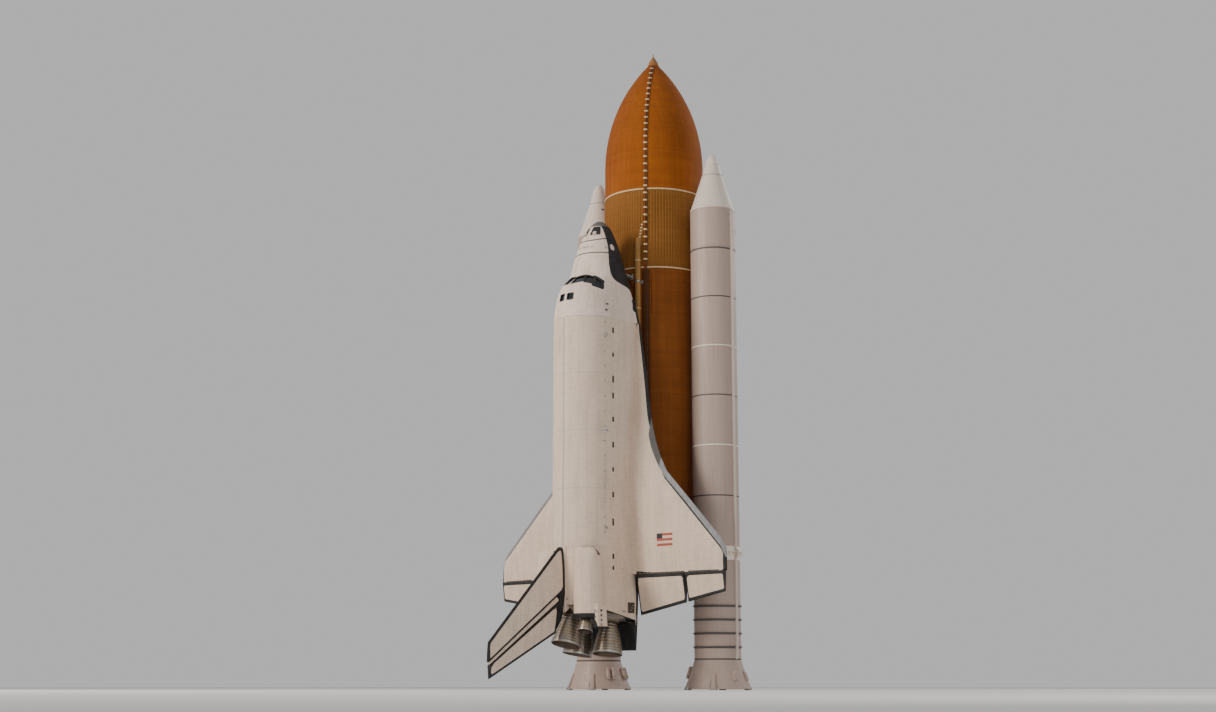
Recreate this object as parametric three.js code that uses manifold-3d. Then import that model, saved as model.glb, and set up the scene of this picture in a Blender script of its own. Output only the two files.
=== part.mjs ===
// A space shuttle launch stack at half size: a winged orbiter with a payload bay, an external tank
// and two solid boosters, standing on the boosters' hold-down feet.
// Lengths are full-size inches, because the type's stations are, and the last group scales them.
// In every frame below, x runs aft (down, as it stands), y to starboard and z from the tank to the orbiter.
import * as THREE from "three";
import { ConvexGeometry } from "three/addons/geometries/ConvexGeometry.js";
import { mergeVertices } from "three/addons/utils/BufferGeometryUtils.js";
import Module from "manifold-3d";

const wasm = await Module();
wasm.setup();

// Driving dimensions
const MODEL_SCALE = 0.5;
const MM_PER_INCH = 25.4;
const SEAT = 0.03; // gap between fixed pieces that touch
const CLEAR = 0.5; // gap between pieces that move past each other

const ORBITER_ORIGIN = [741, 0, -63.5]; // orbiter station 0 in the tank's frame
const BOOSTER_ORIGIN = [543, 250.5, 0]; // booster station 0 and its distance from the tank's axis
const FLOOR_X = 2473.64; // tank station of the hold-down feet's soles

const TANK_RADIUS = 165.5;
const TANK_SIDES = 36;
const TANK_TIP_X = 325;
const TANK_CAP_X = 371.2;
const TANK_CAP_RADIUS = 19;
const OGIVE_END_X = 745;
const OGIVE_RADIUS = 548; // radius of the ogive's arc
const OGIVE_STEPS = 9;
const INTERTANK_X = [852.8, 1123.15];
const TANK_AFT_FRAME_X = 2058;
const TANK_DOME_DEPTH = 115;
const TRAY_ANGLE = 30; // degrees from the orbiter's side, towards starboard
const FEEDLINE_ANGLE = 22.5;

const BOOSTER_RADIUS = 73;
const BOOSTER_SIDES = 20;
const BOOSTER_TIP_X = 200;
const FRUSTUM_X = [275, 395];
const FORWARD_SKIRT_END_X = 523.8;
const CASE_END_X = 1839.5;
const SKIRT_BASE_X = 1930.64;
const SKIRT_BASE_RADIUS = 104.1;
const ATTACH_RING_X = 1511;
const BOOSTER_PIVOT_X = 1850;

const BODY_HALF_WIDTH = 104;
const BODY_CENTRE_Z = 400;
const BODY_TOP_Z = 504;
const BELLY_Z = 267;
const CABIN_END_X = 582;
const BAY_END_X = 1302;
const BAY_RADIUS = 90;
const DOOR_INNER_RADIUS = 95;
const SILL_Z = 420;
const WING_TIP_Y = 468;
const ELEVON_HINGE_X = 1387;
const FIN_ROOT_Z = 507;
const FIN_TIP_Z = 816;
const FLAP_HINGE = [1532, 290];
const FLAP_RADIUS = 10;

const radians = THREE.MathUtils.degToRad;

// Materials, by the colour that the surface has
const finish = (color, roughness, metalness = 0) =>
  new THREE.MeshStandardMaterial({ color, roughness, metalness });
const FOAM = finish(0xa5561c, 0.95);
const WHITE_PAINT = finish(0xe4ded5, 0.6);
const WHITE_BLANKET = finish(0xe9e6e1, 0.85);
const BLACK_TILE = finish(0x1d1d20, 0.7);
const CARBON = finish(0x6b6a69, 0.55);
const NOZZLE_METAL = finish(0x8b7a68, 0.4, 0.8);
const GREY_METAL = finish(0x9a9a98, 0.45, 0.6);
const GLASS = finish(0x15181c, 0.08);

// Closed meshes and how they are joined and cut
function toSolid(geometry) {
  const flat = geometry.index ? geometry.toNonIndexed() : geometry;
  const bare = new THREE.BufferGeometry().setAttribute("position", flat.getAttribute("position"));
  const merged = mergeVertices(bare, 1e-4);
  const vertProperties = merged.attributes.position.array;
  const corners = [];
  const index = merged.index.array;
  for (let i = 0; i < index.length; i += 3) {
    const [a, b, c] = index.subarray(i, i + 3);
    if (a !== b && b !== c && c !== a) corners.push(a, b, c);
  }
  const build = (list) =>
    new wasm.Manifold(new wasm.Mesh({ numProp: 3, vertProperties, triVerts: Uint32Array.from(list) }));
  const made = build(corners);
  return made.volume() >= 0 ? made : build(corners.reverse());
}

const join = (...solids) => solids.reduce((a, b) => a.add(b));
const cut = (solid, ...tools) => tools.reduce((a, b) => a.subtract(b), solid);

function toMesh(name, material, solid) {
  const { vertProperties, triVerts, numProp, numVert } = solid.getMesh();
  const positions = new Float32Array(numVert * 3);
  for (let i = 0; i < numVert; i++) {
    positions.set(vertProperties.subarray(i * numProp, i * numProp + 3), i * 3);
  }
  const geometry = new THREE.BufferGeometry();
  geometry.setAttribute("position", new THREE.BufferAttribute(positions, 3));
  geometry.setIndex(new THREE.BufferAttribute(triVerts, 1));
  geometry.computeVertexNormals();
  const mesh = new THREE.Mesh(geometry, material);
  mesh.name = name;
  return mesh;
}

// Basic forms
const IDENTITY = new THREE.Matrix4();

// A profile of [x, radius] points turned round the x axis.
function turned(profile, sides, placement = IDENTITY) {
  const points = profile.map(([x, r]) => new THREE.Vector2(r, x));
  const geometry = new THREE.LatheGeometry(points, sides);
  return toSolid(geometry.rotateZ(-Math.PI / 2).applyMatrix4(placement));
}

function block([x0, x1], [y0, y1], [z0, z1]) {
  const geometry = new THREE.BoxGeometry(x1 - x0, y1 - y0, z1 - z0);
  return toSolid(geometry.translate((x0 + x1) / 2, (y0 + y1) / 2, (z0 + z1) / 2));
}

// A round rod from one point to another, or a cone where the two radii differ.
function rod(from, to, radius, endRadius = radius, sides = 12) {
  const start = new THREE.Vector3(...from);
  const end = new THREE.Vector3(...to);
  const along = end.clone().sub(start);
  const geometry = new THREE.CylinderGeometry(endRadius, radius, along.length(), sides);
  geometry.translate(0, along.length() / 2, 0);
  const up = new THREE.Vector3(0, 1, 0);
  geometry.applyQuaternion(new THREE.Quaternion().setFromUnitVectors(up, along.normalize()));
  return toSolid(geometry.translate(...from));
}

const hull = (points) => toSolid(new ConvexGeometry(points.map((p) => new THREE.Vector3(...p))));

// Sections are closed rings with as many [x, y, z] points each, seen whole from their own middle.
function loft(sections) {
  const count = sections[0].length;
  const points = sections.flat();
  const corners = [];
  const cap = (start, outwards) => {
    const ring = points.slice(start, start + count);
    const middle = points.length;
    points.push([0, 1, 2].map((k) => ring.reduce((sum, p) => sum + p[k], 0) / count));
    for (let i = 0; i < count; i++) {
      const next = start + ((i + 1) % count);
      corners.push(middle, ...(outwards ? [start + i, next] : [next, start + i]));
    }
  };
  for (let s = 0; s + 1 < sections.length; s++) {
    for (let i = 0; i < count; i++) {
      const [a, b] = [s * count + i, s * count + ((i + 1) % count)];
      corners.push(a, b, b + count, a, b + count, a + count);
    }
  }
  cap(0, false);
  cap((sections.length - 1) * count, true);
  const geometry = new THREE.BufferGeometry();
  geometry.setAttribute("position", new THREE.Float32BufferAttribute(points.flat(), 3));
  geometry.setIndex(corners);
  return toSolid(geometry);
}

// A round pipe along a path of [x, y, z] points.
function pipe(path, radius, sides = 12) {
  const points = path.map((p) => new THREE.Vector3(...p));
  const side = new THREE.Vector3(0, 1, 0);
  const rings = points.map((p, i) => {
    const before = points[Math.max(i - 1, 0)];
    const after = points[Math.min(i + 1, points.length - 1)];
    const along = after.clone().sub(before).normalize();
    const u = new THREE.Vector3().crossVectors(side, along).normalize();
    const v = new THREE.Vector3().crossVectors(along, u);
    return Array.from({ length: sides }, (_, k) => {
      const turn = (2 * Math.PI * k) / sides;
      const out = u.clone().multiplyScalar(Math.cos(turn)).addScaledVector(v, Math.sin(turn));
      return p.clone().addScaledVector(out, radius).toArray();
    });
  });
  return loft(rings);
}

// The same piece on the other side of the x-z plane.
const mirrored = (solid) => solid.mirror([0, 1, 0]);
const onSide = (side, solid) => (side > 0 ? solid : mirrored(solid));
const SIDES = [
  ["left", -1],
  ["right", 1],
];

// A point at a radius and an angle round the tank or booster, where 0 degrees faces the orbiter.
const polar = (x, radius, degrees) => [
  x,
  radius * Math.sin(radians(degrees)),
  radius * Math.cos(radians(degrees)),
];

// External tank
function ogiveRadius(x) {
  if (x >= OGIVE_END_X) return TANK_RADIUS;
  return Math.sqrt(OGIVE_RADIUS ** 2 - (OGIVE_END_X - x) ** 2) + TANK_RADIUS - OGIVE_RADIUS;
}

function tankEnvelope(grow) {
  return turned(
    [
      [1000, 0],
      [1000, TANK_RADIUS + grow],
      [TANK_AFT_FRAME_X - 8, TANK_RADIUS + grow],
      [TANK_AFT_FRAME_X - 8, TANK_RADIUS + 4 + grow],
      [TANK_AFT_FRAME_X + 8, TANK_RADIUS + 4 + grow],
      [TANK_AFT_FRAME_X + 8, 0],
    ],
    TANK_SIDES,
  );
}

function oxygenTank() {
  const profile = [[TANK_CAP_X, 0]];
  for (let i = 0; i <= OGIVE_STEPS; i++) {
    const x = TANK_CAP_X + ((OGIVE_END_X - TANK_CAP_X) * i) / OGIVE_STEPS;
    profile.push([x, ogiveRadius(x)]);
  }
  profile.push([INTERTANK_X[0] - SEAT, TANK_RADIUS], [INTERTANK_X[0] - SEAT, 0]);
  return turned(profile, TANK_SIDES);
}

function tankNoseCap() {
  const profile = [
    [TANK_TIP_X, 0],
    [TANK_TIP_X + 2, 1.5],
    [TANK_TIP_X + 14, 2.5],
    [TANK_TIP_X + 18, 7],
    [TANK_CAP_X - 14, 14.5],
    [TANK_CAP_X - SEAT, TANK_CAP_RADIUS],
    [TANK_CAP_X - SEAT, 0],
  ];
  return turned(profile, BOOSTER_SIDES);
}

const THRUST_POST = { x: 985.7, halfLength: 16, halfWidth: 11, seat: 171 };

function intertank() {
  const ribs = 36;
  const ribHeight = 2;
  const smoothPanel = 18; // degrees each side of the boosters' thrust posts
  const ring = (x) => {
    const points = [];
    for (let i = 0; i < ribs * 4; i++) {
      const angle = (360 * i) / (ribs * 4);
      const fromPost = Math.abs((angle % 180) - 90);
      const raised = i % 4 < 2 && fromPost > smoothPanel;
      points.push(polar(x, TANK_RADIUS + (raised ? ribHeight : 0), angle));
    }
    return points;
  };
  const flange = (x) =>
    turned([[x, 0], [x, TANK_RADIUS + 2.6], [x + 5, TANK_RADIUS + 2.6], [x + 5, 0]], TANK_SIDES);
  const [start, end] = INTERTANK_X;
  const { x, halfLength, halfWidth, seat } = THRUST_POST;
  const post = block([x - halfLength, x + halfLength], [-seat, seat], [-halfWidth, halfWidth]);
  return join(loft([ring(start), ring(end)]), flange(start), flange(end - 5), post);
}

function hydrogenTank() {
  const domeSteps = 6;
  const frame = TANK_AFT_FRAME_X;
  const profile = [
    [INTERTANK_X[1] + SEAT, 0],
    [INTERTANK_X[1] + SEAT, TANK_RADIUS],
    [frame - 8, TANK_RADIUS],
    [frame - 8, TANK_RADIUS + 4],
    [frame + 8, TANK_RADIUS + 4],
    [frame + 8, TANK_RADIUS],
  ];
  for (let i = 1; i <= domeSteps; i++) {
    const turn = (Math.PI / 2) * (i / domeSteps);
    const x = frame + 8 + (TANK_DOME_DEPTH - 8) * Math.sin(turn);
    profile.push([x, i === domeSteps ? 0 : TANK_RADIUS * Math.cos(turn)]);
  }
  const bipodBosses = [-1, 1].map((side) =>
    block([1142, 1166], side > 0 ? [40, 58] : [-58, -40], [140, BIPOD_SEAT_Z]),
  );
  return join(turned(profile, TANK_SIDES), ...bipodBosses);
}

const BIPOD_SEAT_Z = 172;
const BIPOD_TOP = { x: 1129.9, z: 212 }; // underside of the orbiter's forward fitting

function forwardBipod() {
  const { x, z } = BIPOD_TOP;
  const yoke = block([x - 9, x + 9], [-10, 10], [z - 14, z - SEAT]);
  const foot = (side) =>
    block([1144, 1164], side > 0 ? [42, 56] : [-56, -42], [BIPOD_SEAT_Z + SEAT, BIPOD_SEAT_Z + 8]);
  const leg = (side) => rod([1154, side * 49, BIPOD_SEAT_Z + 5], [x, side * 4, z - 8], 5);
  return join(yoke, foot(-1), foot(1), leg(-1), leg(1));
}

function oxygenFeedline() {
  const radius = 10;
  const run = TANK_RADIUS + radius + 2.5; // the pipe's axis stands clear of the intertank's flanges
  const path = [
    polar(1032, TANK_RADIUS - 2, FEEDLINE_ANGLE),
    polar(1036, TANK_RADIUS + 6, FEEDLINE_ANGLE),
    polar(1046, run - 3, FEEDLINE_ANGLE),
    polar(1060, run, FEEDLINE_ANGLE),
    polar(2036, run, FEEDLINE_ANGLE),
    [2070, 67, 163],
    [2088, 65, 165],
    [2099, 65, 173],
    [2103, 65, 190],
  ];
  const plate = block([2000, 2200], [0, 100], [UMBILICAL_LOW_Z - SEAT, 300]);
  const supports = [1170, 1390, 1610, 1830, 2010].map((x) =>
    rod(polar(x, TANK_RADIUS + SEAT, FEEDLINE_ANGLE), polar(x, run, FEEDLINE_ANGLE), 6, 6, 6),
  );
  const wallX = [1012, 1092];
  const wallRadius = TANK_RADIUS + 2 + SEAT;
  const throughWall = turned([[wallX[0], 0], [wallX[0], wallRadius], [wallX[1], wallRadius], [wallX[1], 0]],
    TANK_SIDES * 5);
  return cut(join(pipe(path, radius), ...supports), plate, throughWall, tankEnvelope(SEAT));
}

// The cable tray, with the gas line and its brackets beside it, from the tip to the aft frame.
function tankCableTray() {
  const height = 7;
  const halfWidth = 4;
  const lineWidth = 3.4;
  const stations = [378, 400, 430, 465, 505, 550, 600, 660, 745, 2030];
  const standing = (x, radius, sideways) => {
    const [, y, z] = polar(x, radius, TRAY_ANGLE);
    const [across, down] = [Math.cos(radians(TRAY_ANGLE)), Math.sin(radians(TRAY_ANGLE))];
    return [x, y + sideways * across, z - sideways * down];
  };
  const tray = loft(
    stations.map((x) => {
      const base = ogiveRadius(x);
      return [
        standing(x, base - 2, -halfWidth),
        standing(x, base - 2, halfWidth + lineWidth),
        standing(x, base + height - 3, halfWidth + lineWidth),
        standing(x, base + height - 3, halfWidth),
        standing(x, base + height, halfWidth),
        standing(x, base + height, -halfWidth),
      ];
    }),
  );
  const brackets = [420, 520, 640, 780, 1230, 1380, 1530, 1680, 1830, 1980].map((x) => {
    const base = ogiveRadius(x);
    return hull(
      [x - 3, x + 3].flatMap((at) => [
        standing(at, base - 4, -halfWidth - 3),
        standing(at, base - 4, halfWidth + lineWidth + 3),
        standing(at, base + height + 1, halfWidth),
        standing(at, base + height + 1, -halfWidth),
      ]),
    );
  });
  const tank = [[TANK_CAP_X, 0]];
  for (let i = 0; i <= OGIVE_STEPS; i++) {
    const x = TANK_CAP_X + ((OGIVE_END_X - TANK_CAP_X) * i) / OGIVE_STEPS;
    tank.push([x, ogiveRadius(x) + SEAT]);
  }
  tank.push(
    [INTERTANK_X[0] - 1, TANK_RADIUS + SEAT],
    [INTERTANK_X[0] - 1, TANK_RADIUS + 2.6 + SEAT],
    [INTERTANK_X[1] + 1, TANK_RADIUS + 2.6 + SEAT],
    [INTERTANK_X[1] + 1, TANK_RADIUS + SEAT],
    [2100, TANK_RADIUS + SEAT],
    [2100, 0],
  );
  return cut(join(tray, ...brackets), turned(tank, TANK_SIDES));
}

const AFT_ATTACH = { x: 2058, y: 96.5, top: 208 };
const BEAM = { x: [2046, 2070], z: [178, 196], halfLength: 82.47 };
const UMBILICAL_X = [2084, 2122];
const UMBILICAL_LOW_Z = 178;

// The orbiter's aft body in the tank's frame, grown by a seat, which trims what meets its belly.
const bellyAboveTank = () => body(AFT_SECTIONS, SEAT).translate(ORBITER_ORIGIN);

function aftAttachPost(side) {
  const { x, y, top } = AFT_ATTACH;
  const post = block([x - 12, x + 12], [y - 14, y], [150, top]);
  const thrustStrut = rod([x - 6, y, 186], [1960, y + 10, 118], 7);
  const sideStrut = rod([x, y + 2, 180], [x, y + 48, 70], 7);
  return onSide(side, cut(join(post, thrustStrut, sideStrut), tankEnvelope(SEAT), bellyAboveTank()));
}

function aftCrossbeam() {
  const half = BEAM.halfLength;
  const beam = block(BEAM.x, [-half, half], BEAM.z);
  const plates = [-1, 1].map((side) => {
    const y = side > 0 ? [44, 82] : [-82, -44];
    return join(block(UMBILICAL_X, y, [UMBILICAL_LOW_Z, 208]), block([2060, 2090], y, [180, 194]));
  });
  return cut(join(beam, ...plates), bellyAboveTank());
}

function hydrogenFeedline() {
  const path = [
    [2132, -65, 90],
    [2136, -65, 130],
    [2126, -65, 156],
    [2110, -65, 172],
    [2104, -65, 192],
  ];
  const plate = block([2000, 2200], [-100, 0], [UMBILICAL_LOW_Z - SEAT, 300]);
  const dome = [[2058, 0]];
  for (let i = 0; i <= 6; i++) {
    const turn = (Math.PI / 2) * (i / 6);
    dome.push([2066 + (107 + SEAT) * Math.sin(turn), i === 6 ? 0 : (TANK_RADIUS + 0.1) * Math.cos(turn)]);
  }
  return cut(pipe(path, 9), plate, turned(dome, TANK_SIDES));
}

// Solid boosters
function boosterNose() {
  const profile = [
    [BOOSTER_TIP_X, 0],
    [BOOSTER_TIP_X + 2, 8],
    [BOOSTER_TIP_X + 10, 15],
    [BOOSTER_TIP_X + 28, 21.5],
    [FRUSTUM_X[0], 34],
    [FRUSTUM_X[1] - SEAT, BOOSTER_RADIUS],
    [FRUSTUM_X[1] - SEAT, 0],
  ];
  return turned(profile, BOOSTER_SIDES);
}

function boosterForwardSkirt(side) {
  const [start, end] = [FRUSTUM_X[1], FORWARD_SKIRT_END_X - SEAT];
  const skirt = turned([[start, 0], [start, BOOSTER_RADIUS + 0.6], [start + 5, BOOSTER_RADIUS + 0.6],
    [start + 5, BOOSTER_RADIUS], [end, BOOSTER_RADIUS], [end, 0]], BOOSTER_SIDES);
  const { x, halfLength, halfWidth, seat } = THRUST_POST;
  const middle = x - BOOSTER_ORIGIN[0];
  const inboard = [seat + SEAT - BOOSTER_ORIGIN[1], -60];
  const fitting = block([middle - halfLength, middle + halfLength], inboard, [-halfWidth, halfWidth]);
  return join(skirt, onSide(side, fitting));
}

// Bands round the motor case: columns are station, half length and height.
const CASE_BANDS = [
  [1673, 2, 4],
  [1715, 2, 4],
  [1757, 2, 4],
  [1799, 2, 4],
];

function caseProfile(grow = 0) {
  const profile = [
    [FORWARD_SKIRT_END_X - grow, 0],
    [FORWARD_SKIRT_END_X - grow, BOOSTER_RADIUS + grow],
  ];
  for (const [x, half, height] of CASE_BANDS) {
    profile.push(
      [x - half - grow, BOOSTER_RADIUS + grow],
      [x - half - grow, BOOSTER_RADIUS + height + grow],
      [x + half + grow, BOOSTER_RADIUS + height + grow],
      [x + half + grow, BOOSTER_RADIUS + grow],
    );
  }
  profile.push([CASE_END_X - SEAT, BOOSTER_RADIUS + grow]);
  return profile;
}

const SOCKET_RADIUS = 31;

function boosterCase() {
  const pivot = BOOSTER_PIVOT_X;
  const profile = [...caseProfile(), [CASE_END_X - SEAT, 62], [pivot + 8, 47], [pivot + 8, 0]];
  const bore = rod([pivot, -41, 0], [pivot, 41, 0], 4.07, 4.07, 20);
  const socket = turned(
    [
      [pivot - 32, 0],
      [pivot - 32, 16],
      [pivot - 18, SOCKET_RADIUS],
      [pivot, SOCKET_RADIUS + 2.4],
      [pivot + 9, 39],
      [pivot + 9, 0],
    ],
    16,
  );
  return cut(turned(profile, BOOSTER_SIDES), bore, socket);
}

function boosterTunnel(side) {
  const cover = block([FRUSTUM_X[1] + 6, CASE_END_X - 2], [66, 79.5], [-5, 5]);
  const skirtBody = turned([[390, 0], [390, BOOSTER_RADIUS + SEAT], [530, BOOSTER_RADIUS + SEAT], [530, 0]],
    BOOSTER_SIDES);
  const ring = turned([[ATTACH_RING_X - 7, 0], [ATTACH_RING_X - 7, 90], [ATTACH_RING_X + 7, 90],
    [ATTACH_RING_X + 7, 0]], BOOSTER_SIDES);
  const whole = cut(cover, turned([...caseProfile(SEAT), [CASE_END_X, 0]], BOOSTER_SIDES), skirtBody);
  const aroundRing = block([ATTACH_RING_X - 9, ATTACH_RING_X + 9], [82.03, 86], [-5, 5]);
  const bridge = block([ATTACH_RING_X - 12, ATTACH_RING_X + 12], [77, 86], [-5, 5]);
  return onSide(side, join(cut(join(whole, bridge), ring), aroundRing));
}

function boosterAftRing(side) {
  const x = ATTACH_RING_X;
  const inner = BOOSTER_RADIUS + SEAT;
  const ringProfile = [[x - 6, inner], [x - 6, 82], [x + 6, 82], [x + 6, inner], [x - 6, inner]];
  const ring = turned(ringProfile, BOOSTER_SIDES);
  const tankAxis = -BOOSTER_ORIGIN[1];
  // Columns are z at the tank and z at the ring.
  const struts = [
    [62, 46],
    [-62, -46],
    [-30, 40],
  ].map(([zTank, zRing]) => rod([x + 2, tankAxis + 140, zTank * 0.9], [x, -64, zRing], 4.5, 4.5, 10));
  const tank = turned([[1400, 0], [1400, TANK_RADIUS + SEAT], [1507, TANK_RADIUS + SEAT],
    [1507, TANK_RADIUS + 4 + SEAT], [1523, TANK_RADIUS + 4 + SEAT], [1523, 0]], TANK_SIDES,
  new THREE.Matrix4().makeTranslation(0, tankAxis, 0));
  const caseBody = turned([[1400, 0], [1400, inner], [1600, inner], [1600, 0]], BOOSTER_SIDES);
  return onSide(side, cut(join(ring, cut(join(...struts), caseBody)), tank));
}

function boosterAftSkirt(side) {
  const wall = 5;
  const base = SKIRT_BASE_X - 3;
  const shell = turned([
    [CASE_END_X + SEAT, BOOSTER_RADIUS],
    [base - 4, SKIRT_BASE_RADIUS - 2],
    [base - 4, SKIRT_BASE_RADIUS],
    [base, SKIRT_BASE_RADIUS],
    [base, SKIRT_BASE_RADIUS - 2 - wall],
    [CASE_END_X + 20, BOOSTER_RADIUS - 1],
    [CASE_END_X + SEAT, 66],
    [CASE_END_X + SEAT, BOOSTER_RADIUS],
  ], BOOSTER_SIDES);
  const outwards = (degrees) => new THREE.Matrix4().makeRotationX(-radians(degrees));
  const foot = (degrees) => {
    const corners = [
      [1880, -7, 84], [1880, 7, 84], [1880, -7, 89], [1880, 7, 89],
      [1900, -10, 88], [1900, 10, 88],
      [1922, -10, 90], [1922, 10, 90], [1922, -10, 109], [1922, 10, 109],
      [SKIRT_BASE_X, -10, 92], [SKIRT_BASE_X, 10, 92], [SKIRT_BASE_X, -10, 109], [SKIRT_BASE_X, 10, 109],
    ].map((p) => new THREE.Vector3(...p).applyMatrix4(outwards(degrees)).toArray());
    return hull(corners);
  };
  const separationMotor = (degrees) =>
    rod(polar(1858, 84, degrees), polar(1896, 96, degrees), 6.5, 6.5, 8);
  const feet = [30, 150, 210, 330].map(foot);
  const motors = [242, 254, 286, 298].map(separationMotor);
  const inside = turned([[CASE_END_X - 5, 0], [CASE_END_X - 5, 66], [CASE_END_X + SEAT, 66],
    [CASE_END_X + 20, BOOSTER_RADIUS - 1], [base, SKIRT_BASE_RADIUS - 2 - wall], [base, 0]], BOOSTER_SIDES);
  return onSide(side, join(shell, ...feet, cut(join(...motors), inside)));
}

function boosterNozzle() {
  const pivot = BOOSTER_PIVOT_X;
  const exit = SKIRT_BASE_X - 10.4;
  const r = SOCKET_RADIUS;
  const ball = [];
  for (let degrees = 150; degrees >= 60; degrees -= 22.5) {
    ball.push([pivot + r * Math.cos(radians(degrees)), r * Math.sin(radians(degrees))]);
  }
  const profile = [
    [ball[0][0], 0],
    ...ball,
    [pivot + 24, 32],
    [exit, 61],
    [exit, 58],
    [pivot + 26, 27],
    [pivot + 20, 0],
  ];
  return join(turned(profile, 16), rod([pivot, -40, 0], [pivot, 40, 0], 4, 4, 20));
}

// Orbiter: the body's sections, as rows of
// station, half width, belly z, z of the widest line, top z, lower exponent, upper exponent.
const NOSE_SECTIONS = [
  [240, 9, 329, 338, 347, 2, 2],
  [248, 21, 319, 338, 358, 2, 2],
  [262, 34, 309, 339, 371, 2.2, 2],
  [285, 47, 300, 341, 386, 2.3, 2],
  [320, 61, 291, 345, 402, 2.6, 2],
  [370, 76, 282, 351, 418, 3, 2],
  [428, 89, 275, 359, 433, 4, 1.9],
  [448, 92, 273, 363, 452, 5, 1.9],
  [478, 96, 271, 370, 484, 6, 1.9],
  [504, 99, 269, 378, 494, 8, 1.95],
  [545, 102.5, 268, 390, 501, 16, 2],
  [CABIN_END_X, BODY_HALF_WIDTH, BELLY_Z, BODY_CENTRE_Z, BODY_TOP_Z, 40, 2],
];
const NOSE_CAP_END = 2; // index of the section where the nose cap ends
const CABIN_START = 6; // index of the section where the crew cabin's shell begins
const AFT_SECTIONS = [
  [BAY_END_X, BODY_HALF_WIDTH, BELLY_Z, BODY_CENTRE_Z, BODY_TOP_Z, 40, 2],
  [1392, BODY_HALF_WIDTH, 269, BODY_CENTRE_Z, BODY_TOP_Z, 40, 2],
  [1450, 110, 273, BODY_CENTRE_Z, BODY_TOP_Z, 30, 2.2],
  [FLAP_HINGE[0], 112, FLAP_HINGE[1] - FLAP_RADIUS, BODY_CENTRE_Z, BODY_TOP_Z - 4, 30, 2.4],
];

const MID_SECTIONS = [CABIN_END_X, BAY_END_X].map((x) => [x, ...AFT_SECTIONS[0].slice(1)]);
const FORWARD_END = NOSE_SECTIONS.slice(-2);

// One ring of the body, grown outwards by a distance.
function bodyRing([x, width, belly, widest, top, lower, upper], grow = 0) {
  const quarter = 6;
  const ring = [];
  const power = (value, exponent) => Math.sign(value) * Math.abs(value) ** (2 / exponent);
  for (let i = 0; i < quarter * 4; i++) {
    const turn = (Math.PI * i) / (quarter * 2);
    const [c, s] = [Math.cos(turn), Math.sin(turn)].map((v) => (Math.abs(v) < 1e-9 ? 0 : v));
    const exponent = s >= 0 ? upper : lower;
    const height = s >= 0 ? top - widest + grow : widest - belly + grow;
    ring.push([x, (width + grow) * power(c, exponent), widest + height * power(s, exponent)]);
  }
  return ring;
}

// The body's row at a station between two rows of the table.
function rowAt(rows, x) {
  const next = rows.findIndex((row) => row[0] >= x);
  const [a, b] = [rows[Math.max(next - 1, 0)], rows[next]];
  const share = b[0] === a[0] ? 0 : (x - a[0]) / (b[0] - a[0]);
  return a.map((value, k) => value + (b[k] - value) * share);
}

const body = (rows, grow = 0) => loft(rows.map((row) => bodyRing(row, grow)));

function noseCap() {
  const rows = NOSE_SECTIONS.slice(0, NOSE_CAP_END + 1);
  rows[NOSE_CAP_END] = rowAt(NOSE_SECTIONS, rows[NOSE_CAP_END][0] - SEAT);
  return body(rows);
}

const CABIN_WALL = 4;
const CABIN_X = [448, 574];

function cabinSpace(grow = 0) {
  const wall = CABIN_WALL - grow;
  const stations = [CABIN_X[0] - grow, 478, 504, 545, CABIN_X[1] + grow];
  return body(stations.map((x) => rowAt(NOSE_SECTIONS, x)), -wall);
}

// Window corners on the starboard side: each is a station and an angle from the widest line, in degrees.
const WINDOWS = {
  front: [[444, 88], [440, 69], [464, 63], [470, 86]],
  middle: [[442, 66], [450, 47], [473, 43], [467, 59]],
  side: [[454, 43], [466, 29], [485, 27], [478, 40]],
  overhead: [[506, 86], [506, 74], [527, 74], [527, 86]],
};

function surfacePoint([x, degrees], depth) {
  const [, width, , widest, top, , upper] = rowAt(NOSE_SECTIONS, x);
  const share = (v) => Math.abs(v) ** (2 / upper);
  const [c, s] = [Math.cos(radians(degrees)), Math.sin(radians(degrees))];
  return [x, (width - depth) * share(c), widest + (top - widest - depth) * share(s)];
}

function windowTool(corners) {
  return hull([...corners.map((c) => surfacePoint(c, -7)), ...corners.map((c) => surfacePoint(c, 9))]);
}

const HATCH = { x: 497, z: 343, radius: 20, axisY: -101.4, axisZ: 320 };

function hatchRod(radius) {
  return rod([HATCH.x, -80, HATCH.z], [HATCH.x, -115, HATCH.z], radius, radius, 24);
}

// The solid part of the nose, with the fitting that the bipod holds.
function noseSection() {
  const rows = NOSE_SECTIONS.slice(NOSE_CAP_END, CABIN_START + 1);
  rows[rows.length - 1] = rowAt(NOSE_SECTIONS, NOSE_SECTIONS[CABIN_START][0] - SEAT);
  const fitting = block([381, 397], [-12, 12], [BIPOD_TOP.z - ORBITER_ORIGIN[2], 290]);
  return join(body(rows), fitting);
}

function forwardFuselage() {
  const rows = NOSE_SECTIONS.slice(CABIN_START);
  rows[rows.length - 1] = rowAt(NOSE_SECTIONS, CABIN_END_X - SEAT);
  const gloveTip = hull([
    [505, 98, 272], [505, 98, 284], [582 - SEAT, 100, BELLY_Z + 1], [582 - SEAT, 100, 288],
    [582 - SEAT, 116.5, 274], [582 - SEAT, 116.5, 280],
  ]);
  const windows = Object.values(WINDOWS).map(windowTool);
  const aftWindows = [-1, 1].map((side) =>
    block([560, 600], side > 0 ? [10, 32] : [-32, -10], [440, 466]),
  );
  const shell = join(body(rows), gloveTip, mirrored(gloveTip));
  const opened = cut(shell, cabinSpace(), ...windows, ...windows.map(mirrored), ...aftWindows,
    hatchRod(HATCH.radius));
  return join(opened, hingeKnuckle(HATCH.x, HATCH.axisY, HATCH.axisZ, [0, 4], -8));
}

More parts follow.
